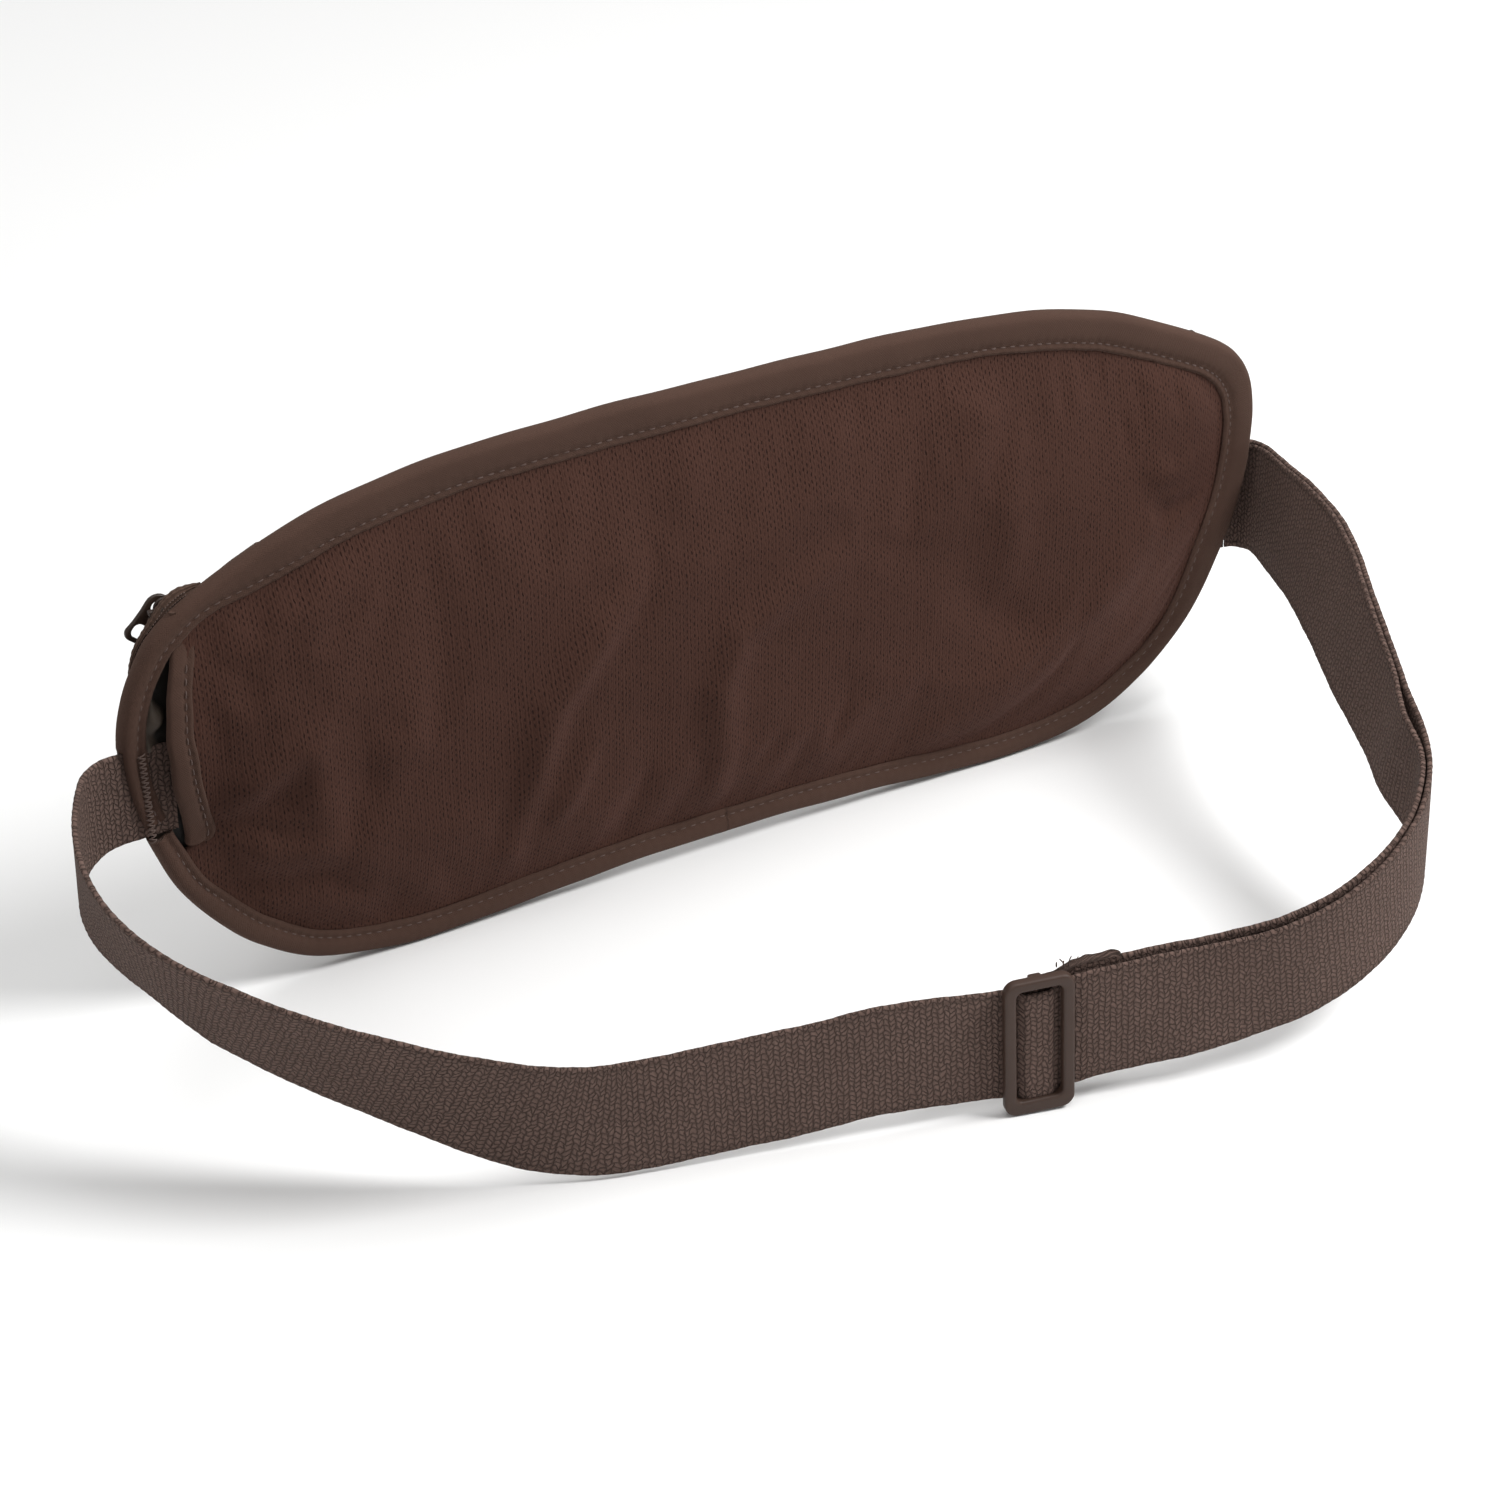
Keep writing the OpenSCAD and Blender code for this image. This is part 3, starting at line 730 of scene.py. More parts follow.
def settle(x, y, z, hold, grow, pull, nx, nz):
    """Cloth run: the sheet, held where hold(x, z) is 1 and cut a little too large by grow,
    creases and sags under pull. Returns the moved x, y and z."""
    frames = 34
    scale = 0.01             # metres for each mm, ten times the real size
    largest_move = 4.0
    coarse = [resample(values, nx, nz) for values in (x, y, z)]
    mesh = bpy.data.meshes.new("settling")
    mesh.from_pydata((np.stack(coarse, -1).reshape(-1, 3) * scale).tolist(), [], grid(nx, nz))
    obj = bpy.data.objects.new("settling", mesh)
    scene = bpy.context.scene
    scene.collection.objects.link(obj)
    group = obj.vertex_groups.new(name="held")
    weights = hold(coarse[0], coarse[2]).ravel()
    for i in np.where(weights > 0.01)[0]:
        group.add([int(i)], float(weights[i]), "REPLACE")
    modifier = obj.modifiers.new("cloth", "CLOTH")
    cloth = modifier.settings
    cloth.quality = 5
    cloth.mass = 0.15
    cloth.air_damping = 2.0
    cloth.tension_stiffness = 12.0
    cloth.compression_stiffness = 12.0
    cloth.shear_stiffness = 5.0
    cloth.bending_stiffness = 1.2
    cloth.tension_damping = 5.0
    cloth.compression_damping = 5.0
    cloth.shear_damping = 5.0
    cloth.vertex_group_mass = "held"
    cloth.pin_stiffness = 1.0
    cloth.shrink_min = -grow
    modifier.collision_settings.use_collision = False
    modifier.collision_settings.use_self_collision = False
    old_gravity, old_frame = tuple(scene.gravity), scene.frame_current
    scene.gravity = pull
    modifier.point_cache.frame_start = 1
    modifier.point_cache.frame_end = frames
    for frame in range(1, frames + 1):
        scene.frame_set(frame)
    result = obj.evaluated_get(bpy.context.evaluated_depsgraph_get())
    moved = np.empty(len(result.data.vertices) * 3, np.float32)
    result.data.vertices.foreach_get("co", moved)
    moved = moved.reshape(nx, nz, 3) / scale
    bpy.data.objects.remove(obj)
    bpy.data.meshes.remove(mesh)
    scene.gravity = old_gravity
    scene.frame_set(old_frame)
    out = []
    for axis, values in enumerate((x, y, z)):
        move = np.nan_to_num(moved[..., axis] - coarse[axis])
        out.append(values + resample(np.clip(move, -largest_move, largest_move), *x.shape))
    return out


# ------------------------------------------------------------------ mesh panel
# folds of the mesh panel: (x, z) points, height (negative is a hollow), width
PANEL_FOLDS = [
    ([(-60, 22), (-57, 36), (-50, 58), (-36, 75), (-20, 88)], 4.0, 4.6),
    ([(-52, 24), (-46, 34), (-40, 46)], 2.2, 3.6),
    ([(-27, 77), (-16, 82), (-6, 86)], 1.2, 3.6),
    ([(-5, 20), (-6, 50), (-1, 64), (14, 71), (30, 76)], 3.0, 4.8),
    ([(50, 112), (62, 104), (70, 97), (74, 88), (74, 60)], 2.4, 5.4),
    ([(60, 62), (68, 48), (80, 40), (92, 38)], -2.0, 7.0),
    ([(30, 82), (45, 72), (58, 66)], -1.4, 6.5),
    ([(-129, 51), (-120, 59), (-113, 64), (-106, 67)], 3.1, 4.8),
    ([(-107, 67), (-107, 54), (-107, 40)], 2.7, 4.4),
    ([(-97, 66), (-96, 52), (-99, 38)], -1.5, 5.0),
    ([(-136, 44), (-126, 47), (-112, 54)], -1.6, 4.4),
    ([(-137, 40), (-122, 31), (-104, 28), (-92, 18), (-84, 11)], -2.4, 5.6),
    ([(-128, 40), (-112, 37), (-98, 34), (-86, 26)], 1.8, 6.2),
    ([(-128, 84), (-112, 95), (-95, 104), (-78, 111)], 2.2, 5.0),
    ([(-110, 88), (-95, 94), (-78, 98)], -1.6, 4.6),
    ([(-116, 98), (-121, 86), (-119, 74)], -1.4, 3.8),
    ([(-80, 74), (-84, 60), (-96, 58)], 1.9, 6.0),
    ([(60, 18), (88, 33), (106, 48), (118, 64)], 4.4, 8.0),
    ([(112, 99), (126, 95), (133, 84)], 1.8, 4.5),
    ([(116, 68), (122, 60), (132, 62)], -2.2, 3.6),
    ([(112, 76), (122, 72), (130, 74)], 1.5, 4.0),
    ([(98, 106), (106, 92), (112, 80)], -1.7, 6.0),
    ([(-70, 106), (-30, 104), (20, 104), (45, 101)], 1.6, 8.0),
    ([(-30, 15), (-25, 30), (-22, 45)], -1.4, 5.0),
    ([(24, 20), (30, 38), (26, 54)], -0.9, 6.0),
]


def gape(z):
    """How far the pocket mouth stands off the lining."""
    return (3.6 * ease((z - 46) / 14) * ease((97 - z) / 16)
            + 0.5 * np.sin(z / 5.0) * ease((z - 50) / 8) * ease((92 - z) / 8))


def panel_bulge(x, z):
    """Height of the mesh panel's folds and slack."""
    edge = edge_distance(x, z)
    mouth = ease((x + 131.5) / 13)
    soft = ease(edge / 13)
    bulge = 3.0 * soft
    for points, height, width in PANEL_FOLDS:
        bulge = bulge + fold(x, z, points, height, width) * ease((edge + 2) / 7)
    bulge = bulge + 0.35 * field(x, z, 4, 42) * soft + 0.13 * field(x, z, 9, 15) * soft
    return np.maximum(bulge * (0.04 + 0.96 * mouth), -0.5)


def held_panel(x, z):
    """1 along the binding and the pocket mouth, 0 inside."""
    return 1 - ease((edge_distance(x, z) - 0.5) / 2.5) * ease((x + 132) / 4)


def make_mesh_panel():
    x, z = columns(300, 116, inset=2.2, start=-134.6)
    y = -1.75 - panel_bulge(x, z) - gape(z) * ease((-118 - x) / 14) * 0.92
    x = x - MOUTH_DRIFT * gape(z) * ease((-112 - x) / 16)
    # below the mouth the panel reaches further to -x
    x = x - 3.6 * ease((45.2 - z) / 3) * ease((z - 31) / 5) * ease((-128 - x) / 6.6)
    x, y, z = settle(x, y, z, held_panel, grow=0.006, pull=(0.0, -1.0, -1.6), nx=170, nz=66)
    sheet("mesh_panel", x, np.minimum(y, -1.5), z, 0.55, MESH, side=-1,
          slot="mesh_fabric", replaces=["back_mesh_panel"])


def make_lining():
    """Flat lining, rumpled in the strip beside the pocket mouth."""
    x, z = columns(220, 60, inset=2.0)
    near = ease((-126 - x) / 8) * ease((z - 68) / 4) * ease((97 - z) / 10)
    inside = ease((edge_distance(x, z) + 0.6) / 1.8)
    strip = ease((-139.4 - x - 1.1 * np.sin(0.62 * z)) / 1.6)
    rumple = 1.3 + 0.8 * np.sin((z * 0.9 + 1.5 * x) / 1.9) + 0.5 * field(x, z, 23, 9)
    y = -0.5 + 0.06 * field(x, z, 21, 18) - near * inside * strip * rumple
    sheet("lining", x, np.clip(y, -2.9, -0.32), z, 0.18, LINING, side=-1,
          slot="lining_fabric", replaces=["divider_lining"])


# ------------------------------------------------------------------ zip-side panels
# folds of the zip side: (x, z) points, height, width
FRONT_FOLDS = [
    ([(-110, 30), (-80, 42), (-50, 40)], 2.2, 5),
    ([(-60, 78), (-30, 60), (-12, 30)], 2.4, 6),
    ([(10, 16), (0, 50), (18, 82)], 2.0, 5),
    ([(112, 84), (98, 66), (104, 26)], 1.8, 5),
    ([(-120, 70), (-95, 72), (-75, 86)], 1.8, 4.5),
    ([(-70, 20), (-40, 26), (-20, 18)], 1.4, 5),
    ([(40, 84), (60, 82), (84, 86)], 1.3, 4),
]


def front_y(x, z):
    """Face of the zip side: flat under the buckle tab, drawn in along the zip."""
    soft = ease(edge_distance(x, z) / 10)
    tab = ease((x - 34) / 10) * ease((96 - x) / 10) * ease((z - 30) / 6) * ease((76 - z) / 6)
    free = soft * (1 - tab)
    y = 1.05 + free * (1.5 + 0.8 * field(x, z, 31, 46) + 0.3 * field(x, z, 33, 17))
    y += free * sum(fold(x, z, *entry) for entry in FRONT_FOLDS)
    from_zip = np.abs(z - ZIP_Z)
    near = ease((14.5 - from_zip) / 3.0)
    return y * (1 - near) + np.minimum(y, 1.25 + 0.55 * ease((8 - from_zip) / 3)) * near


def held_shell(x, z):
    """1 along the binding, the zip tape and the sewn end of the buckle tab."""
    tab = ease((x - 44) / 4) * ease((94 - x) / 4) * ease((z - 34) / 4) * ease((72 - z) / 4)
    free = ease((edge_distance(x, z) - 0.5) / 2.5) * ease((ZIP_Z - 10.5 - z) / 2.5)
    return np.maximum(1 - free, tab)


def make_front_panels():
    zip_half = 4.6           # from the zip's centre line to each panel
    x, z = columns(260, 70, inset=2.2, z_high=ZIP_Z - zip_half)
    x, y, z = settle(x, front_y(x, z), z, held_shell, grow=0.012, pull=(0.0, 1.0, -2.0),
                     nx=150, nz=50)
    # kept low under the buckle
    under = ease((x - 80) / 6) * ease((z - 26) / 6) * ease((79.5 - z) / 6)
    y = y - under * np.maximum(0, y - 2.8)
    sheet("front_panel_low", x, np.clip(y, 0.9, 9.0), z, 0.5, SHELL, side=1,
          slot="shell_fabric", replaces=["front_panel_lower"])
    x, z = columns(240, 16, inset=2.2, z_low=ZIP_Z + zip_half)
    sheet("front_panel_up", x, front_y(x, z), z, 0.5, SHELL, side=1,
          slot="shell_fabric", replaces=["front_panel_upper"])


# ------------------------------------------------------------------ edge binding
STITCHES = int(RIM_LENGTH / STITCH_PITCH)


def bind_height(d, width, s, side):
    """Height of the binding's face above the fold line, at distance d in from the rim."""
    full = 2.35 if side < 0 else 2.0
    seam = width - BIND_STITCH_IN
    bend = 1.7               # radius of the fold over the rim
    rolled = full * np.sqrt(np.clip(1 - ((bend - d) / bend) ** 2, 0, 1))
    h = np.where(d < bend, rolled, full)
    h = h + 0.42 * np.sin(math.pi * np.clip((d - 0.4) / np.maximum(seam - 0.4, 1), 0, 1)) ** 0.8
    # drawn in along the seam, with a pucker at each stitch
    phase = 2 * math.pi * s / STITCH_PITCH
    h = h - np.exp(-((d - seam) / 0.75) ** 2) * (0.50 + 0.16 * np.cos(phase))
    wide = np.exp(-((d - seam) / 2.2) ** 2)
    h = h + wide * 0.07 * np.cos(phase + (d - seam) * 0.9 * side)
    h = h - ease((d - (width - 0.8)) / 0.8) * 0.55
    return h + 0.10 * wave(s, 5 if side < 0 else 6, [47, 31, 19, 11]) * ease(d / 3)


def make_binding():
    """Folded tape round the outline, slit at the -x end where the belt comes out."""
    thick = 0.62
    stations = STITCHES * 6
    s = np.arange(stations) * RIM_LENGTH / stations
    rim, inward = rim_at(s), rim_in(s)
    width = width_here = binding_width(rim)
    slit = (rim[:, 0] < -100) & (rim[:, 1] > 47.4) & (rim[:, 1] < 72.4)
    bare = slit & (rim[:, 1] < 51.4)       # where the body-side flap is left out as well
    # places across the flap, from its inner edge (1) to the rim (0)
    places = np.concatenate([[1.0, 0.975, 0.93], np.linspace(0.88, 0.24, 8),
                             [0.17, 0.11, 0.06, 0.025, 0.0]])
    inner_places = [0.97, 0.6, 0.25]
    wander = 0.18 * wave(s, 11, [60, 37, 23])

    profile = []             # (distance in from the rim, y) arrays round the section
    for side, seed, row in ((-1, 3, places), (1, 8, places[::-1][1:])):
        width_here = width + 0.22 * wave(s, seed, [70, 33, 17, 9])
        for q in row:
            d = q * width_here
            height = bind_height(d, width_here, s, side)
            profile.append((d + wander * (1 - q), BIND_MID_Y + side * height))
    outer_count = len(profile)

    def inside(side, row):
        return [(q * width, BIND_MID_Y + side * (bind_height(q * width, width, s, side) - thick))
                for q in row]

    profile += inside(1, inner_places)
    profile += [(np.full_like(s, 0.8), np.full_like(s, y)) for y in (0.35, -0.9)]
    profile += inside(-1, inner_places[::-1])
    count = len(profile)
    offset = np.stack([p[0] for p in profile], 1)
    y = np.stack([p[1] for p in profile], 1)
    xz = rim[:, None] + inward[:, None] * offset[..., None]
    points = np.stack([xz[..., 0], y, xz[..., 1]], -1)

    # section indices of the slit's lips: outer face and inside, body side and zip side
    middle = len(places) - 1
    body_lip, zip_lip = middle - 3, middle + 3
    zip_inside = outer_count + len(inner_places)
    body_inside = zip_inside + 1
    faces = []
    for i in range(stations):
        here, there = i * count, (i + 1) % stations * count
        slit_here = slit[i] and slit[(i + 1) % stations]
        bare_here = bare[i] and bare[(i + 1) % stations]
        for j in range(count):
            k = (j + 1) % count
            if slit_here and (body_lip <= j < zip_lip or j == zip_inside):
                continue
            if bare_here and (j < body_lip or j >= body_inside):
                continue
            faces.append((here + j, here + k, there + k, there + j))
        if slit_here:
            if not bare_here:
                faces.append((here + body_lip, here + body_inside,
                              there + body_inside, there + body_lip))
            faces.append((here + zip_inside, here + zip_lip, there + zip_lip,
                          there + zip_inside))
    slit_ring = [*range(body_lip, zip_lip + 1), zip_inside, body_inside]
    bare_ring = [*range(body_lip + 1), *range(body_inside, count)]
    for mask, ring in ((slit, slit_ring), (bare, bare_ring)):
        ends = np.where(mask)[0]
        faces.append(tuple(ends.min() * count + j for j in ring[::-1]))
        faces.append(tuple(ends.max() * count + j for j in ring))
    build("edge_binding_tape", points, faces, BIND, uv=grid_uv(s[:, None], distances(points)),
          slot="binding_fabric", replaces=["edge_binding"])


def make_binding_stitches():
    half = 0.82
    bag = Bag()
    for side in (-1, 1):
        for i in range(STITCHES):
            middle = (i + 0.5) * RIM_LENGTH / STITCHES
            ends = []
            for s in (middle - half, middle + half):
                rim = rim_at(s)
                width = float(binding_width(rim))
                d = width - BIND_STITCH_IN
                height = float(bind_height(d, width, s, side))
                x, z = rim + rim_in(s) * d
                ends.append((x, BIND_MID_Y + side * (height - 0.03), z))
            x, _, z = ends[0]
            at_zip_end = side > 0 and abs(z - ZIP_Z) < 12.2 and abs(x) > 100
            at_mouth_foot = side < 0 and x < -134 and 45.5 < z < 53
            if not (at_zip_end or at_mouth_foot):
                bag.stitch(*ends, (0, side, 0), radius=0.20, lift=0.18)
    bag.make("binding_stitches", THREAD_DARK, slot="binding_fabric")


# ------------------------------------------------------------------ pocket mouth
# z, x of the tape's -x edge, x of its +x edge, before it drifts
MOUTH = np.array([
    (40, -137.4, -130.6), (44.6, -137.3, -130.2), (47, -137.0, -129.8),
    (53, -136.7, -130.2), (62, -137.7, -131.0), (74, -138.2, -132.0),
    (89, -137.0, -131.5), (97, -135.8, -130.0), (110.0, -135.2, -129.0)])
MOUTH_Y = -1.55
MOUTH_SEAM_IN = 1.7          # in from the +x edge


def mouth_edges(z):
    """The two edges of the mouth tape and how far it stands off."""
    stand = gape(z)
    left = np.interp(z, MOUTH[:, 0], MOUTH[:, 1]) - MOUTH_DRIFT * stand
    right = np.interp(z, MOUTH[:, 0], MOUTH[:, 2]) - MOUTH_DRIFT * stand
    return left, right, stand


def make_mouth_tape():
    zs = np.arange(44.4, 102.6, 0.45)
    across = np.linspace(0, 1, 15)
    rings = []
    for z, left, right, stand in zip(zs, *mouth_edges(zs)):
        sink = ease((z - 88) / 9)
        y_middle = MOUTH_Y - stand + 0.75 * sink
        if z < 46.2:         # rounded lower corner
            cut = 1.6 * (1 - math.sqrt(max(0.0, 1 - ((46.2 - z) / 1.85) ** 2)))
            right, left = right - cut, left + 0.4 * cut
        width = right - left
        pucker = 0.42 + 0.12 * math.cos(2 * math.pi * z / STITCH_PITCH)
        ring = []
        for t in across[::-1]:             # body face, +x edge to fold
            x = left + width * t
            dome = 0.95 * math.sqrt(1 - (1 - min(t / 0.16, 1)) ** 2)
            dome += 0.28 * math.sin(math.pi * min(t / 0.72, 1))
            dome -= pucker * math.exp(-((x - (right - MOUTH_SEAM_IN)) / 0.6) ** 2)
            dome -= 0.45 * ease((t - 0.92) / 0.08)
            ring.append((x, y_middle - dome * (1 - 0.35 * sink), z))
        for t in across[1:]:               # lining face, fold to +x edge
            dome = 0.62 * math.sqrt(1 - (1 - min(t / 0.16, 1)) ** 2)
            ring.append((left + width * t, y_middle + dome, z))
        rings.append(ring)
    points = np.array(rings)
    n, k = points.shape[:2]
    points[:, :, 0] += 0.18 * wave(zs, 41, [23, 11])[:, None]
    build("mouth_tape", points, grid(n, k, wrap=True) + caps(n, k), BIND,
          uv=grid_uv(zs[:, None], distances(points)),
          slot="binding_fabric", replaces=["mesh_pocket_binding"])


def make_mouth_stitches():
    bag = Bag()
    for start in np.arange(45.6, 91, STITCH_PITCH):
        ends = []
        for z in (start, start + 1.6):
            _, right, stand = mouth_edges(z)
            ends.append((right - MOUTH_SEAM_IN, MOUTH_Y - stand - 0.80, z))
        bag.stitch(*ends, (0, -1, 0), radius=0.16, lift=0.15)
    bag.make("mouth_stitches", THREAD_DARK, slot="binding_fabric")


# ------------------------------------------------------------------ zip tapes
def make_zip_tape(name, side, node):
    """One tape: side 1 is above the zip line, -1 below."""
    nx, nz = 380, 13
    s = np.linspace(0, RIM_LENGTH, 2400, endpoint=False)
    rim = rim_at(s) - rim_in(s) * 0.6
    lines_x, lines_z = [], []
    for j in range(nz):
        z = ZIP_Z + side * (1.05 + 10.5 * j / (nz - 1))
        # where this line of the tape meets the outline
        near = np.abs(rim[:, 1] - z) < 0.5
        left = rim[near & (rim[:, 0] < 0)][:, 0].mean()
        right = rim[near & (rim[:, 0] > 0)][:, 0].mean()
        short = 0.9 + (2.3 * ease((97 - z) / 7) if z < 100 else 3.4 * ease((z - 102) / 4))
        lines_x.append(np.linspace(left + short, right - 3.0, nx))
        lines_z.append(np.full(nx, z))
    x, z = np.stack(lines_x, 1), np.stack(lines_z, 1)
    y = 2.28 + 0.10 * wave(x + z * 2, 51 if side > 0 else 52, [40, 23])
    ends = np.maximum(ease((-118 - x) / 24), ease((x - 122) / 20) * 0.6)
    y = y + ends * 0.7 * ease((np.abs(z - ZIP_Z) - 4.2) / 3)
    points = np.vstack([np.stack([x, face, z], -1).reshape(-1, 3) for face in (y, y - 0.42)])
    count = nx * nz
    faces = grid(nx, nz, flip=side > 0)
    ring = border(nx, nz)
    for a, b in zip(ring, ring[1:] + ring[:1]):
        quad = (a, b, b + count, a + count)
        faces.append(quad if side > 0 else quad[::-1])
    faces += grid(nx, nz, flip=side < 0, base=count)
    uv = grid_uv(x, z).reshape(-1, 2)
    build(name, points, faces, TAPE, uv=np.vstack([uv, uv]), slot="zip_tape", replaces=[node])


# the upper tape's end, turned out and caught in the binding: x, z, radius
TAPE_END = np.array([
    (-126.5, 105.8, 0.4), (-129.4, 105.4, 1.0), (-132.0, 104.6, 1.7), (-134.5, 103.0, 1.9),
    (-136.6, 100.9, 1.6), (-138.7, 98.4, 1.15), (-140.9, 96.2, 0.95), (-142.8, 93.6, 0.9),
    (-143.9, 90.2, 0.85), (-144.8, 86.6, 0.55)])


def make_tape_end():
    stations, sides = 150, 28
    t = np.linspace(0, 1, stations)
    knots = np.linspace(0, 1, len(TAPE_END))
    x, z, radius = [
        np.interp(t, knots, np.convolve(np.pad(column, 1, mode="edge"), [0.15, 0.7, 0.15], "valid"))
        for column in TAPE_END.T]
    for _ in range(10):
        x[1:-1] = (x[:-2] + x[2:] + 2 * x[1:-1]) / 4
        z[1:-1] = (z[:-2] + z[2:] + 2 * z[1:-1]) / 4
    run = distances(np.stack([x, z], -1))
    path = np.stack([x, 1.75 + 0.55 * np.sin(math.pi * t), z], -1)
    across = unit(np.cross(unit(np.gradient(path, axis=0)), Y_AXIS))
    flatten, deepest = 0.82, 1.45          # the section is flattened along y
    rings = []
    for k in range(sides):
        a = 2 * math.pi * k / sides
        r = radius * (1 + 0.05 * np.cos(2 * math.pi * run / 1.5)) * (1 + 0.06 * math.cos(5 * a))
        rings.append(path + across * (r * math.cos(a))[:, None]
                     + Y_AXIS * (np.minimum(r, deepest) * flatten * math.sin(a))[:, None])
    uv = grid_uv(np.arange(sides)[None] * 9.0 / sides, run[:, None])
    build("zip_tape_end", np.stack(rings, 1), grid(stations, sides, wrap=True)
          + caps(stations, sides), TAPE, uv=uv, slot="zip_tape")

    bag = Bag()
    for row in (-0.35, 0.15, 0.6):         # rows along the roll
        for k in range(26, 92, 4):
            ends = [path[i] + across[i] * radius[i] * row
                    - Y_AXIS * min(radius[i], deepest) * flatten * math.sqrt(1 - row * row)
                    for i in (k, k + 2)]
            bag.stitch(*ends, (0, -1, 0), radius=0.13, lift=0.14)
    for k in range(92, 146, 2):            # zigzag down its thin end
        rows = (0.7, -0.2) if k % 4 else (-0.2, 0.7)
        ends = [path[i] + across[i] * radius[i] * row - Y_AXIS * radius[i] * 0.7
                for i, row in zip((k, k + 2), rows)]
        bag.stitch(*ends, (0, -1, 0), radius=0.14, lift=0.18)
    bag.make("zip_end_stitches", THREAD, slot="zip_tape")


# ------------------------------------------------------------------ zip coils
def make_coil(name, side, node):
    pitch, start, end = 1.30, -134.6, 131.0
    steps = 12               # points for each turn
    centre, radius = 1.05, 1.0404          # of the turns, from the zip line
    turns = int((end - start) / pitch)
    t = np.arange(turns * steps + 1) / steps
    angle = 2 * math.pi * t
    lead = 0.0 if side > 0 else 0.5        # the two coils mesh half a turn apart
    x = start + (t + lead) * pitch + 0.16 * np.sin(angle)
    z = ZIP_Z + side * (centre - radius * np.cos(angle))
    y = 3.30 + 0.55 * np.sin(angle)
    bag = Bag()
    bag.add(*tube(np.stack([x, y, z], -1), 0.20, up=(1, 0, 0.001)))
    # the cord the turns are sewn round
    cord = [(x, 3.28, ZIP_Z + side * 1.1) for x in np.linspace(start, end, 60)]
    bag.add(*tube(cord, 0.34, 8))
    bag.make(name, COIL, slot="zip_coil", replaces=[node])


def make_zip_stitches():
    """Rows that hold the coils and the tapes down."""
    y = 2.42
    bag = Bag()
    # side, first and last x of the outer row
    for side, start, end in ((-1, -126.0, 126), (1, -114.0, 112)):
        # x positions, distance from the zip line, length, radius, lift
        for xs, off, length, radius, lift in (
                (np.arange(-133.0, 130.5, 2.1), 2.65, 1.5, 0.16, 0.12),
                (np.arange(start, end, STITCH_PITCH), 9.6, 1.6, 0.19, 0.16)):
            z = ZIP_Z + side * off
            for x in xs:
                bag.stitch((x, y, z), (x + length, y, z), (0, 1, 0), radius=radius, lift=lift)
    bag.make("zip_stitches", THREAD, slot="zip_tape")


# ------------------------------------------------------------------ zip slider, pull and stops
SLIDER_X = -133.3
HINGE_X = -135.6


def make_slider():
    x, z = SLIDER_X, ZIP_Z - 0.3
    bag = Bag()
    bag.add(*slab(rounded(8.6, 6.2, 2.4), 5.0, x + 0.5, z, thick=0.8, bevel=0.3))
    bag.add(*slab(rounded(8.4, 6.0, 2.2), 1.95, x + 0.5, z, thick=0.75, bevel=0.25))
    for side in (-1, 1):     # flanges
        bag.add(*slab(rounded(5.6, 0.9, 0.3), 4.25, x + 0.8, z + side * 2.6,
                      thick=1.2, bevel=0.25))
    bag.add(*slab(rounded(2.6, 1.7, 0.5), 4.4, x - 3.1, ZIP_Z, thick=2.5, bevel=0.2))
    bag.make("slider_body", METAL, body="zip_slider", slot="zip_metal",
             replaces=["zip_slider_body"])
    t = np.linspace(0, 1, 25)
    arch = np.stack([HINGE_X + 0.5 + 4.6 * t, 4.8 + 2.3 * np.sin(math.pi * t) ** 0.36,
                     np.full(25, ZIP_Z)], -1)
    bag = Bag()
    bag.add(*tube(arch, 0.45, 10, taper=False))
    bag.make("slider_bridge", METAL, body="zip_slider", slot="zip_metal")


def make_pull():
    """Flat tab on the slider: round at its hinge, with a window near its free end."""
    length, hinge_radius, corner = 9.3, 3.1, 1.9
    waist = [(2.4, 3.0), (length - 4.2, 3.15), (length - 3.0, 3.3)]
    outline = arc(0, 0, hinge_radius, 90, 180, 12) + [(x, -y) for x, y in waist]
    outline += arc(length - corner, -1.6, corner, -90, 90, 6)
    outline += arc(length - corner, 1.6, corner, 0, 90, 6) + waist[::-1]
    holes = [arc(0, 0, 1.55, 0, 360, 24)[:-1], rounded(3.3, 4.5, 1.4, x=length - 2.75)]
    points, faces = plate(outline, holes, thick=1.05, bevel=0.34)
    points = on_xz(points * (1, -1, 1), 6.55, HINGE_X, ZIP_Z, math.radians(180 + 50))
    build("zip_pull", points, faces, METAL, uv=points[:, [0, 2]], body="zip_pull",
          slot="zip_metal", replaces=["zip_pull_tab"])


def make_stops():
    bag = Bag()
    for side in (-1, 1):
        bag.add(*slab(rounded(1.2, 1.3, 0.35), 3.8, SLIDER_X - 4.9, ZIP_Z + side * 0.85 - 0.25,
                      thick=1.3, bevel=0.25))
    bag.make("top_stops", METAL, slot="zip_metal", replaces=["zip_top_stops"])
    bag = Bag()
    bag.add(*slab(rounded(2.6, 5.2, 0.6), 4.35, 132.5, ZIP_Z, thick=1.9, bevel=0.4))
    bag.make("bottom_stop", METAL, slot="zip_metal", replaces=["zip_bottom_stop"])


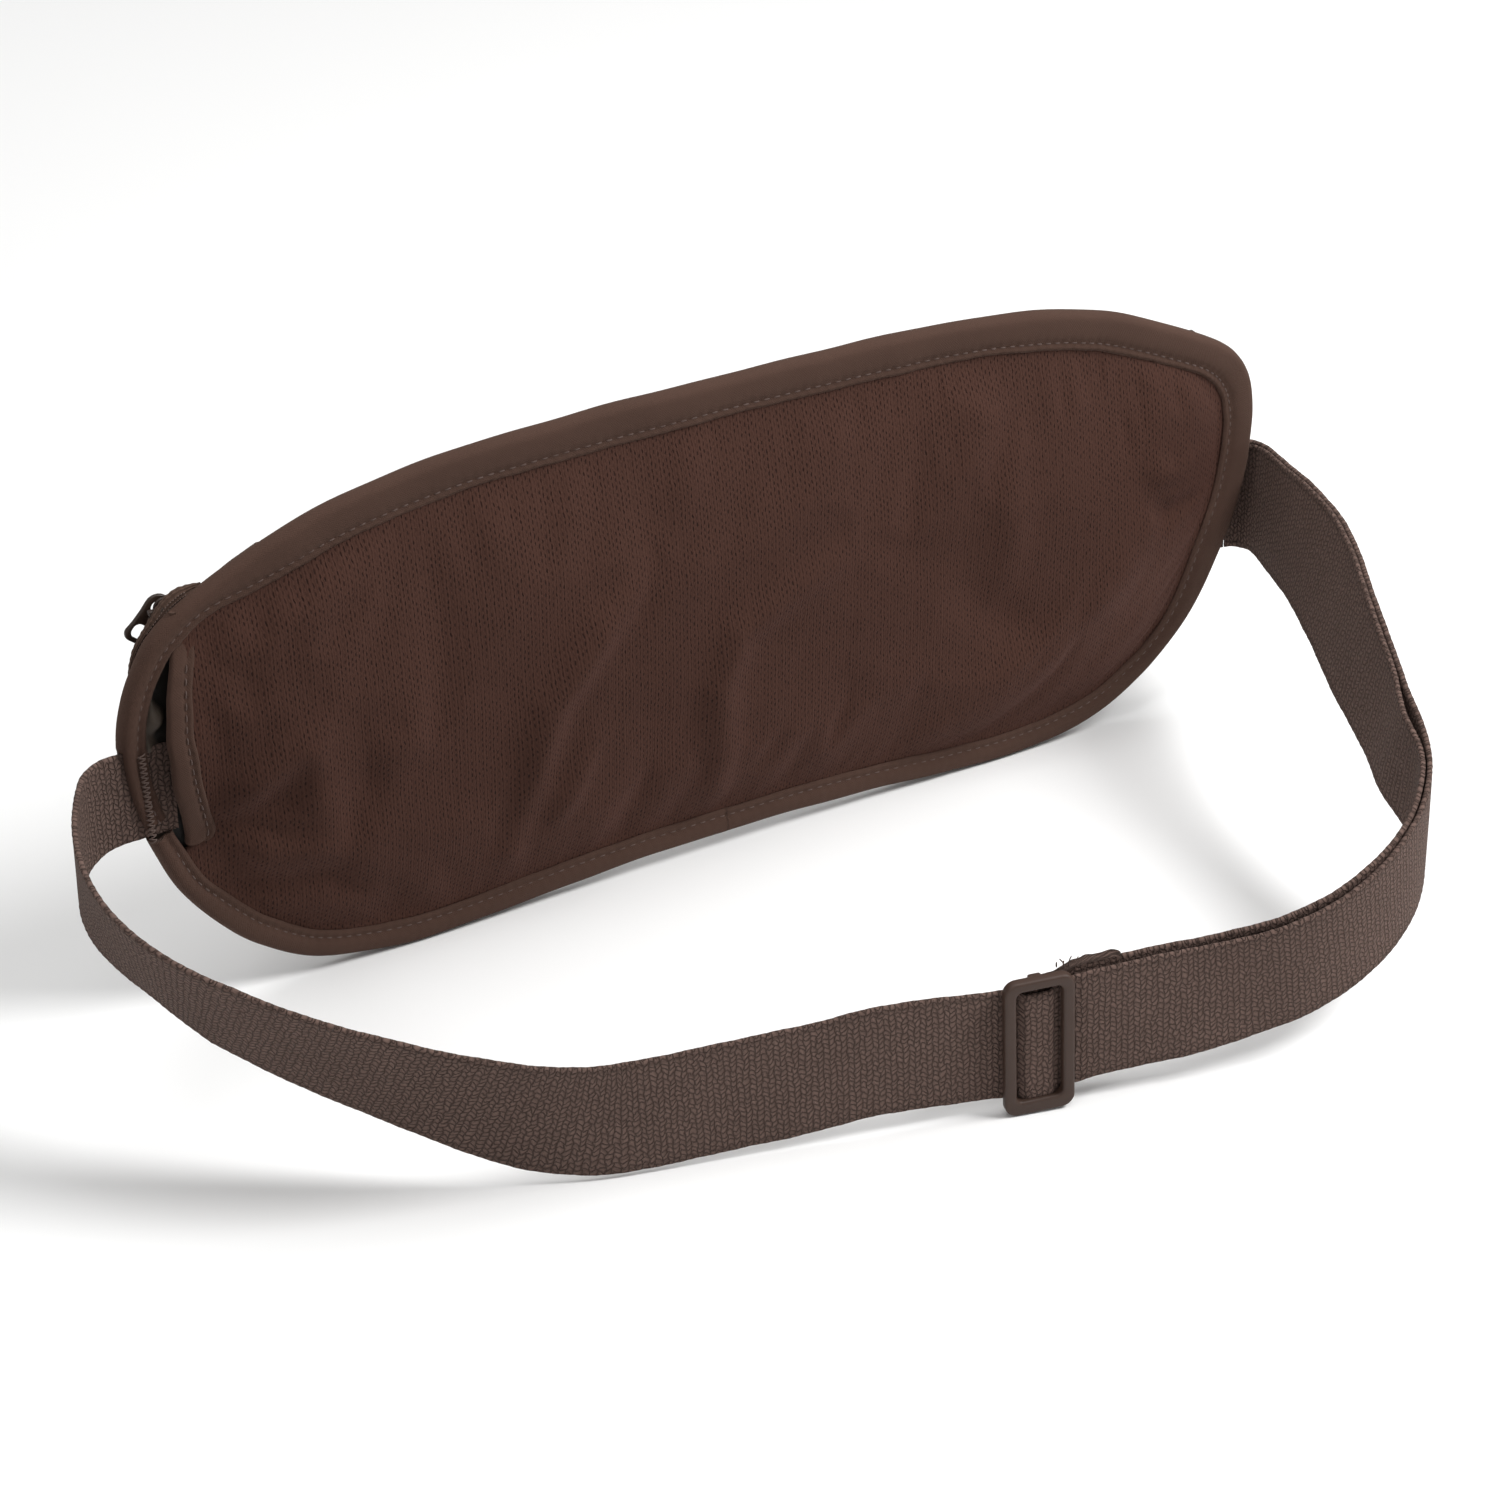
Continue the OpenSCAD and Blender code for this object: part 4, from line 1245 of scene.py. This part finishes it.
# ------------------------------------------------------------------ belt path
# the belt seen from above: (radius, degrees) of a left-hand bend, or (0, length) straight
TURNS = [(0, 12), (14, 56), (43, 82.5), (178, 27.5), (0, 144), (54, 87), (0, 102.7), (9, 107),
         (0, 16)]
RUNS = [(r * math.radians(size) if r else size, r) for r, size in TURNS]
RUN_S = np.concatenate([[0], np.cumsum([length for length, _ in RUNS])])
FRONT_S = RUN_S[4]           # start of the long straight run on the -y side
BEND_S = RUN_S[5]            # start of the bend round the +x end
END_S = RUN_S[9]             # at the plug's bar
ADJUSTER_S = 262.0
SPLIT_S = 330.0              # where the inner layer is parted into two pieces
FRONT_Z, ADJUSTER_Z = 15.4, 19.75
RISE = (ADJUSTER_Z - FRONT_Z) / (ADJUSTER_S - FRONT_S)
CLIMB_S = BEND_S - 20
CLIMB = END_S - CLIMB_S
# (distance, height of the belt's middle, slope if given)
HEIGHT = [
    (0, 59.5, 0), (12, 59.5, 0), (.36 * FRONT_S, 52.7), (.66 * FRONT_S, 32.6),
    (FRONT_S, FRONT_Z, RISE), (CLIMB_S, FRONT_Z + RISE * (CLIMB_S - FRONT_S), RISE),
    (CLIMB_S + .33 * CLIMB, 37.8), (CLIMB_S + .66 * CLIMB, 56.4),
    (END_S - 16, 52.7, 0), (END_S, 52.7, 0)]
# (distance, lean in degrees, slope if given)
LEAN = [
    (0, 0, 0), (12, 0, 0), (.2 * FRONT_S, -2.1), (.42 * FRONT_S, 24.7), (.7 * FRONT_S, 19.8),
    (FRONT_S, 0, 0), (CLIMB_S, 0, 0), (CLIMB_S + .33 * CLIMB, -3.2),
    (CLIMB_S + .66 * CLIMB, 11.9), (END_S - 16, 0, 0), (END_S, 0, 0)]


def walk(s):
    """(x, y) and heading at distance s."""
    place, heading = np.array([-138.0, -1.1]), math.pi
    for length, r in RUNS:
        d = min(s, length)
        if r == 0:
            place = place + d * np.array([math.cos(heading), math.sin(heading)])
        else:
            end = heading + d / r
            place = place + r * np.array([math.sin(end) - math.sin(heading),
                                          math.cos(heading) - math.cos(end)])
            heading = end
        s -= d
        if s <= 0:
            break
    return place, heading


def hermite(keys, s):
    """Smooth curve through keys of (distance, value, slope if given)."""
    i = 0
    while i < len(keys) - 2 and s > keys[i + 1][0]:
        i += 1

    def slope(j):
        if len(keys[j]) > 2:
            return keys[j][2]
        before, after = keys[j - 1], keys[j + 1]
        return (after[1] - before[1]) / (after[0] - before[0])

    a, b = keys[i], keys[i + 1]
    span = b[0] - a[0]
    t = min(1, max(0, (s - a[0]) / span))
    return (a[1] * (2 * t ** 3 - 3 * t * t + 1) + slope(i) * span * (t ** 3 - 2 * t * t + t)
            + b[1] * (3 * t * t - 2 * t ** 3) + slope(i + 1) * span * (t ** 3 - t * t))


def path_frame(s):
    """Point, direction, across and outward of the belt at distance s."""
    place, heading = walk(s)
    z = hermite(HEIGHT, s)
    climb = hermite(HEIGHT, s + 0.5) - hermite(HEIGHT, s - 0.5)
    along = unit([math.cos(heading), math.sin(heading), climb])
    across = unit(np.array([0, 0, 1.0]) - along * along[2])
    outward = np.cross(along, across)
    lean = math.radians(hermite(LEAN, s))
    c, sn = math.cos(lean), math.sin(lean)
    return (np.array([place[0], place[1], z]), along,
            across * c + outward * sn, outward * c - across * sn)


def gathered(s):
    """1 where the belt is sewn to the pouch, fading to 0."""
    return 1 - ease((s - 6) / 44)


def belt_frame(s):
    """Belt frame with its small settling: drawn up at the pouch, dipping through the adjuster,
    leaning a little round the bend at the +x end."""
    point, along, across, outward = path_frame(s)
    lift = 0.7 * gathered(s)
    lift += -2.0 * math.exp(-((s - ADJUSTER_S) / 15.0) ** 2)
    lift += 0.9 * math.exp(-((s - ADJUSTER_S + 36) / 13.0) ** 2)
    lift += -0.7 * ease((s - ADJUSTER_S - 8) / 20) * ease((350 - s) / 30)
    point = point + across * lift
    point = point + outward * (0.5 * ease((s - 325) / 20) * ease((380 - s) / 20)
                               - 2.6 * ease((s - 375) / 30) * ease((468 - s) / 45))
    tip = (0.12 * ease((s - 296) / 26) * ease((436 - s) / 34)
           - 0.13 * math.exp(-((s - 458) / 14.0) ** 2))
    across = unit(across + tip * np.array([-0.494, -0.869, 0.0]))
    across = unit(across - along * (across @ along))
    outward = unit(outward - across * (outward @ across))
    return point, along, across, outward


def inner_lift(s):
    """How much higher the inner layer sits on the front run."""
    return (0.35 * ease((s - ADJUSTER_S - 4) / 16) * ease((385 - s) / 60)
            + 0.6 * math.exp(-((s - 398) / 8.0) ** 2))


def layer_gap(s):
    """Spacing of the two layers: open on the front run, close round the bend, open again
    at the buckle."""
    tight = 1.55
    close = ease((s - 318) / 50)
    gap = 2.6 * (1 - close) + tight * close + 1.7 * math.exp(-((s - 396) / 8.0) ** 2)
    return gap + (BUCKLE_GAP - tight) * ease((s - END_S + 40) / 30)


# ------------------------------------------------------------------ belt
def ribbon(name, frames, seed, half=0.6, **options):
    """Webbing along frames (middle, across, outward, distance, width): a thin rounded band
    with selvages, half thick on each side."""
    middle, across, outward, s, width = [np.array(part) for part in zip(*frames)]
    wander_high = 0.16 * wave(s, seed, [31, 17, 7])
    wander_low = 0.16 * wave(s, seed + 1, [29, 13, 6])
    bow = 0.18 * wave(s, seed + 2, [83, 47, 29])
    places = np.linspace(-1, 1, 27)
    places = np.sign(places) * (1 - (1 - np.abs(places)) ** 1.35)
    rows, uvs = [], []
    for side, row in ((1, places), (-1, places[::-1][1:-1])):
        for t in row:
            v = t * (width / 2 + (wander_high if t > 0 else wander_low))
            rounding = math.sqrt(1 - min(1, max(0, (abs(t) - 0.965) / 0.035)) ** 2)
            height = half * (0.30 + 0.70 * rounding)
            height = height - 0.10 * math.exp(-((abs(t) - 0.905) / 0.03) ** 2)
            if abs(t) > 0.9:
                phase = 0 if side > 0 else 1
                height = height + 0.05 * np.sin(2 * math.pi * s / 1.45 + phase)
            off = bow * (1 - t * t) + side * height
            rows.append(middle + across * v[:, None] + outward * off[:, None])
            uvs.append(np.stack([s, v + (0 if side > 0 else 0.4)], -1))
    points = np.stack(rows, 1)
    n, k = points.shape[:2]
    faces = grid(n, k, wrap=True, flip=True) + caps(n, k, flip=True)
    return build(name, points, faces, WEB, uv=np.stack(uvs, 1), body=None,
                 slot="elastic_webbing", **options)


def inner_frame(s, gap):
    """Frame of the layer that comes back from the buckle."""
    point, _, across, outward = belt_frame(s)
    return (point - outward * gap + across * inner_lift(s), across, -outward,
            2 * END_S - s + 6, BELT_WIDTH)


def make_belt():
    step = 0.9
    seed = 61
    turn_back = END_S - 20   # where the outer piece ends after passing round the bar

    frames = []
    for s in np.arange(0.0, END_S, step):
        point, _, across, outward = belt_frame(s)
        frames.append((point, across, outward, s, BELT_WIDTH - 6.6 * gathered(s)))
    point, along, across, outward = path_frame(END_S)
    bar_radius = BUCKLE_GAP / 2
    for degrees in np.arange(0, 181, 12):
        a = math.radians(degrees)
        out = outward * math.cos(a) + along * math.sin(a)
        frames.append((point - outward * bar_radius + out * bar_radius, across, out,
                       END_S + bar_radius * a, BELT_WIDTH))
    frames += [inner_frame(s, layer_gap(s)) for s in np.arange(END_S - 0.6, turn_back, -step)]
    outer = ribbon("belt_outer", frames, seed, replaces=["elastic_strap"])

    split = inner_frame(SPLIT_S, layer_gap(SPLIT_S))
    frames = [inner_frame(s, layer_gap(s)) for s in np.arange(turn_back, SPLIT_S - 0.5, -step)]
    inner = ribbon("belt_inner_buckle_part", frames + [split], seed)

    frames = [split]
    for s in np.arange(SPLIT_S - step, ADJUSTER_S + 14.5, -step):
        gap = 2.65 + (layer_gap(s) - 2.65) * ease((s - ADJUSTER_S - 14) / 14)
        frames.append(inner_frame(s, gap))
    adjusted = ribbon("belt_inner_adjuster_part", frames, seed)

    direction = unit([1, 2, 0])
    still, moving = [direction * (direction @ point) for point in ((130, -60, 0), (129, 9, 0))]
    for part in (outer, inner):
        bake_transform(part)
    to_world(path_frame(ADJUSTER_S + 14)[0])
    to_world(path_frame(SPLIT_S - 3)[0])
    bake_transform(adjusted)


# ------------------------------------------------------------------ adjuster
ADJ_POINT, ADJ_ALONG, ADJ_ACROSS, ADJ_OUT = path_frame(ADJUSTER_S)


def on_belt(points):
    """Adjuster coordinates: x along the belt, y towards the pouch, z across."""
    x, y, z = np.asarray(points, float).T[..., None]
    return ADJ_POINT + x * ADJ_ALONG + y * (-ADJ_OUT) + z * ADJ_ACROSS


def make_adjuster():
    bag = Bag()
    points, faces = plate(rounded(16, 35.4, 3.0, 10), [rounded(10.6, 29.4, 1.5, y=0.5)],
                          thick=2.6, bevel=0.7, res=5)
    a, b, depth = points.T
    bag.add(on_belt(np.stack([a, -3.35 + depth, b - 1.8], -1)), faces)
    bar, faces = tube([(0, 1.0, z) for z in np.linspace(-17.4, 14.0, 24)], 0.95, 14,
                      up=(0, 1, 0), taper=False)
    bag.add(on_belt(bar), faces)
    for z in (-18.4, 13.6):                # blocks at the bar's ends
        points, faces = plate(rounded(3.0, 2.6, 0.5), thick=1.1, bevel=0.25)
        bag.add(on_belt(points + (0, 0.1, z)), faces)
    bag.make("adjuster", PLASTIC, body="adjuster", slot="hardware_plastic",
             replaces=["adjuster_frame"])


def make_belt_window():
    """The stretch of belt that climbs over the middle bar rides with the adjuster."""
    frames = []
    for x in np.arange(-6.6, 6.61, 0.3):
        over = ease((6.3 - abs(x)) / 4.0)
        point = (ADJ_POINT + ADJ_ALONG * x + ADJ_OUT * (2.02 * over - 0.25)
                 - ADJ_ACROSS * (1.65 + 0.95 * over))
        frames.append((point, ADJ_ACROSS, ADJ_OUT, ADJUSTER_S + x, 28.9))
    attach(ribbon("belt_window", frames, seed=71, half=0.58), "adjuster")


def make_end_loop():
    """Sewn end of the belt, folded round the adjuster's bar."""
    half_width, rows = 14.5, 34
    xs = np.linspace(0.6, 19.4, 30)
    upper = [(x, 3.28 + 1.25 * ease((x - 4) / 8) * (1 - 0.25 * math.sin(x * 1.3)) * 0.9)
             for x in xs]
    lower = [(x, 0.86) for x in xs[::-1]]
    end = [(20.1, 3.9), (20.4, 2.9), (20.1, 1.4)]
    section = np.array(arc(0, 1.0, 2.28, -90, -180, 18) + upper + end + lower)
    x, y = section.T
    zs = np.linspace(-half_width, half_width, rows)
    rings = []
    for z in zs:
        inside = min(1.0, (half_width - abs(z)) / 0.5)
        squeeze = 0.80 + 0.20 * math.sqrt(max(0.0, 1 - (1 - inside) ** 2))
        skew = 0.10 * np.sin(x * 2.1) + 1.9 * ease((x - 3) / 9) - 1.8
        rings.append(np.stack([x, 2.05 + (y - 2.05) * squeeze, z + skew], -1))
    points = np.concatenate(rings)
    count = len(section)
    build("belt_end_loop", on_belt(points), grid(rows, count, wrap=True) + caps(rows, count),
          WEB, uv=grid_uv(distances(section)[None], zs[:, None]), body="adjuster",
          slot="elastic_webbing", replaces=["strap_end_loop"])

    bag = Bag()
    for x in (6.4, 8.0, 16.2):
        for z in np.arange(-13.4, 13, 2.0):
            ends = on_belt([(x, 4.35, z), (x, 4.35, z + 1.4)])
            bag.stitch(*ends, -ADJ_OUT, radius=0.19)
    # loose thread ends: start, reach, sideways bend
    t = np.linspace(0, 1, 10)
    for (x, y, z), (dx, dy, dz), bend in (
            ((7.4, 2.4, 14.2), (-1.3, -0.4, 3.3), 0.8),
            ((8.6, 2.6, 14.2), (0.4, -0.6, 3.4), -0.7),
            ((9.2, 2.7, 14.2), (1.6, 0.2, 2.2), 0.5)):
        path = np.stack([x + dx * t + bend * np.sin(math.pi * t) * 0.5, y + dy * t,
                         z - 0.9 + dz * t], -1)
        bag.add(*tube(on_belt(path), 0.15, up=ADJ_OUT))
    bag.make("end_loop_threads", THREAD, body="adjuster", slot="elastic_webbing")


def make_belt_tack():
    """Zigzag where the belt is sewn to the pouch."""
    step, y = 0.62, -2.95
    bag = Bag()
    for k, z in enumerate(np.arange(48.2, 71.0, step)):
        middle = -145.0 - 0.04 * (z - 60)
        swing = 0.9 if k % 2 else -0.9
        bag.stitch((middle + swing, y, z), (middle - swing, y, z + step), (0, -1, 0), lift=0.22)
    bag.make("belt_tack", THREAD, slot="elastic_webbing")


# ------------------------------------------------------------------ buckle
# the belt turns round the plug's bar; the parts follow one another towards -x
BAR_X, BAR_Y, BUCKLE_Z = path_frame(END_S)[0] - (0, BUCKLE_GAP / 2, 0)
PLUG_X = BAR_X - 16          # the plug's shoulder
SOCKET_X = PLUG_X - 0.4      # the socket's mouth
SOCKET_LENGTH = 34
TAB_X = SOCKET_X - SOCKET_LENGTH
BUCKLE_HEIGHT = 38
SLOT_HEIGHT = 30.2


def make_plug():
    bag = Bag()
    holes = [rounded(2.6, SLOT_HEIGHT, 0.8, x=12.9), rounded(3.4, SLOT_HEIGHT, 0.8, x=15.8)]
    bag.add(*slab(rounded(18, BUCKLE_HEIGHT, 3.0, x=9), BAR_Y + 3, PLUG_X, BUCKLE_Z, holes,
                  thick=6, bevel=0.8, res=4))
    bar = [(BAR_X, BAR_Y, z) for z in np.linspace(BUCKLE_Z - 15.6, BUCKLE_Z + 15.6, 20)]
    bag.add(*tube(bar, 1.2, 14, up=(1, 0, 0), taper=False))
    bag.add(*slab(rounded(20, 7, 1.2), BAR_Y + 1.5, PLUG_X - 9, BUCKLE_Z, thick=3, bevel=0.5))
    bag.make("plug", PLASTIC, body="plug", slot="hardware_plastic", replaces=["buckle_plug"])


# outline of the upper prong, x from the plug's shoulder and z from the prong's middle
PRONG = [(0, -1.5), (0, 1.5), (-12, 1.5), (-12, 5.4), (-14, 5.4), (-20, 2.6), (-21, 0.8),
         (-21, -1.5)]


def make_prong(name, side, which):
    points, faces = slab([(x, side * z) for x, z in PRONG], BAR_Y + 1.8, PLUG_X - 0.45,
                         BUCKLE_Z + side * 13, thick=3.6, bevel=0.35)
    build(name, points, faces, PLASTIC, uv=points[:, [0, 2]], body="prong_" + which,
          slot="hardware_plastic", replaces=["plug_prong_" + which])


def make_socket():
    """Two shells, side rails in two lengths with a gap between, and the tail bars."""
    bag = Bag()
    for top in (BAR_Y + 3.7, BAR_Y - 2.2):
        shell = rounded(SOCKET_LENGTH, BUCKLE_HEIGHT, 3.0, x=SOCKET_X - SOCKET_LENGTH / 2)
        tail_slot = rounded(3.6, SLOT_HEIGHT, 0.9, x=SOCKET_X - 29.2)
        bag.add(*slab(shell, top, 0, BUCKLE_Z, [tail_slot], thick=1.5, bevel=0.55, res=4))
    for side in (-1, 1):
        for length, x in ((11.2, SOCKET_X - 5.6), (12.6, SOCKET_X - 27.6)):
            bag.add(*slab(rounded(length, 2.9, 0.7, x=x), BAR_Y + 3.0, 0, BUCKLE_Z + side * 17.5,
                          thick=6.0, bevel=0.45))
    bag.add(*slab(rounded(3.0, BUCKLE_HEIGHT, 0.8, x=SOCKET_X - 32.5), BAR_Y + 1.7, 0, BUCKLE_Z,
                  thick=3.4, bevel=0.5))
    bag.add(*slab(rounded(2.4, 34, 0.6, x=SOCKET_X - 26.2), BAR_Y + 2.5, 0, BUCKLE_Z,
                  thick=5.0, bevel=0.3))
    bag.make("socket", PLASTIC, slot="hardware_plastic", replaces=["buckle_socket"])


TAB_Y = 1.22                 # face of the panel under the tab


def make_tab():
    """Webbing folded round the socket's tail bar, its ends sewn to the panel."""
    under, over = TAB_Y + 0.62, TAB_Y + 1.75           # the two layers where they lie flat
    flat_start, flat_end, free = TAB_X - 34, TAB_X - 20, 18
    path = [(x, under) for x in np.linspace(flat_start, flat_end, 12)]
    path += [(flat_end + free * t, under + (BAR_Y - 2.6 - TAB_Y) * ease(t))
             for t in np.linspace(0, 1, 14)[1:]]
    path += [(x, BAR_Y - 2.0) for x in (TAB_X - 0.6, TAB_X + 1.2)]
    path += arc(TAB_X + 2.2, BAR_Y, 2.0, -90, 180, 12)[1:-1]
    path += [(x, BAR_Y + 2.0) for x in (TAB_X + 1.2, TAB_X - 0.6)]
    path += [(flat_end + free * t, over + (BAR_Y + 0.2 - TAB_Y) * ease(t))
             for t in np.linspace(1, 0, 14)[1:]]
    path += [(x, over) for x in np.linspace(flat_end, flat_start, 12)[1:]]
    path = np.array(path)
    along = unit(np.gradient(path, axis=0))
    frames = [(np.array([x, y, BUCKLE_Z]), np.array([0, 0, 1.0]), np.array([dy, -dx, 0.0]), s,
               28.8)
              for (x, y), (dx, dy), s in zip(path, along, distances(path))]
    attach(ribbon("socket_tab_webbing", frames, seed=81, half=0.52, replaces=["socket_tab"]),
            "pouch")


def make_tab_stitches():
    """A sewn box with its two diagonals."""
    left, right = TAB_X - 32.6, TAB_X - 20.6
    low, high = BUCKLE_Z - 12.6, BUCKLE_Z + 12.6
    y = TAB_Y + 2.30
    corners = np.array([(left, y, low), (right, y, low), (right, y, high), (left, y, high)])
    bag = Bag()
    for i, j in ((0, 1), (1, 2), (2, 3), (3, 0), (0, 2), (1, 3)):
        start, run = corners[i], corners[j] - corners[i]
        count = int(np.linalg.norm(run) / 2.2)
        for k in range(count):
            bag.stitch(start + run * (k + 0.15) / count, start + run * (k + 0.85) / count,
                       (0, 1, 0), radius=0.2, lift=0.15)
    bag.make("tab_stitches", THREAD, slot="elastic_webbing")


# ------------------------------------------------------------------ stage, in metres
def add_light(name, light, place, target):
    obj = bpy.data.objects.new(name, light)
    obj.location = place
    aim = Vector(target) - Vector(obj.location)
    obj.rotation_euler = aim.to_track_quat("-Z", "Y").to_euler()
    bpy.context.scene.collection.objects.link(obj)


def add_area(name, place, target, size, power):
    light = bpy.data.lights.new(name, "AREA")
    light.shape = "DISK"
    light.size = size
    light.energy = power
    add_light(name, light, place, target)


def make_floor():
    half = 6
    material = Graph("floor").finish(Base_Color=(0.86, 0.86, 0.855, 1), Roughness=0.9,
                                     Specular_IOR_Level=0.1)
    mesh = bpy.data.meshes.new("floor")
    corners = [(-half, -half, 0), (half, -half, 0), (half, half, 0), (-half, half, 0)]
    mesh.from_pydata(corners, [], [(0, 1, 2, 3)])
    mesh.materials.append(material)
    obj = bpy.data.objects.new("floor", mesh)
    bpy.context.scene.collection.objects.link(obj)


def make_lights():
    add_area("key", place=(0.64, -0.42, 0.90), target=(0.05, 0, 0.05), size=0.45, power=12.5)
    add_area("fill", place=(-1.3, -1.3, 0.8), target=(0, 0, 0.05), size=1.4, power=0.5)
    add_area("top", place=(-0.1, 0.3, 1.9), target=(0, 0, 0.05), size=1.8, power=20)
    spot = bpy.data.lights.new("side", "SPOT")
    spot.energy = 22
    spot.spot_size = math.radians(17)
    spot.spot_blend = 1.0
    spot.shadow_soft_size = 0.2
    add_light("side", spot, place=(-0.75, -0.36, 0.78), target=to_world([158, -22, 45]))
    world = bpy.data.worlds.new("studio")
    bpy.context.scene.world = world
    world.use_nodes = True
    background = world.node_tree.nodes["Background"]
    background.inputs["Color"].default_value = (1, 1, 1, 1)
    background.inputs["Strength"].default_value = 0.35


def make_camera():
    """Looks at the body side from above, a little from the -x end."""
    distance = 0.8802
    aim_right, aim_up = 0.0072, -0.0329    # turned off the line to the pouch's middle
    camera = bpy.data.cameras.new("camera")
    camera.lens = 90.45
    camera.sensor_width = 36
    camera.clip_start = 0.01
    obj = bpy.data.objects.new("camera", camera)
    bpy.context.scene.collection.objects.link(obj)
    back = Vector((-0.4277, -0.7520, 0.5015)).normalized()
    right = Vector((0.869, -0.494, 0)).normalized()
    up = back.cross(right).normalized()
    aim = (-back + aim_right * right + aim_up * up).normalized()
    across = (right - aim * right.dot(aim)).normalized()
    turn = Matrix((across, across.cross(aim), -aim)).transposed()
    place = Vector(to_world([0, 0, 60])) + back * distance
    obj.matrix_world = Matrix.Translation(place) @ turn.to_4x4()
    bpy.context.scene.camera = obj


# ------------------------------------------------------------------ assembly
make_mesh_panel()
make_lining()
make_front_panels()
make_binding()
make_binding_stitches()
make_mouth_tape()
make_mouth_stitches()
make_zip_tape("zip_tape_top", 1, "zip_tape_upper")
make_zip_tape("zip_tape_bottom", -1, "zip_tape_lower")
make_tape_end()
make_coil("coil_top", 1, "zip_coil_upper")
make_coil("coil_bottom", -1, "zip_coil_lower")
make_zip_stitches()
make_slider()
make_pull()
make_stops()
make_belt()
make_adjuster()
make_belt_window()
make_end_loop()
make_belt_tack()
make_plug()
make_prong("prong_up", 1, "upper")
make_prong("prong_down", -1, "lower")
make_socket()
make_tab()
make_tab_stitches()

make_floor()
make_lights()
view = bpy.context.scene.view_settings
view.view_transform = "Standard"
view.look = "None"
view.exposure = 0.0
make_camera()
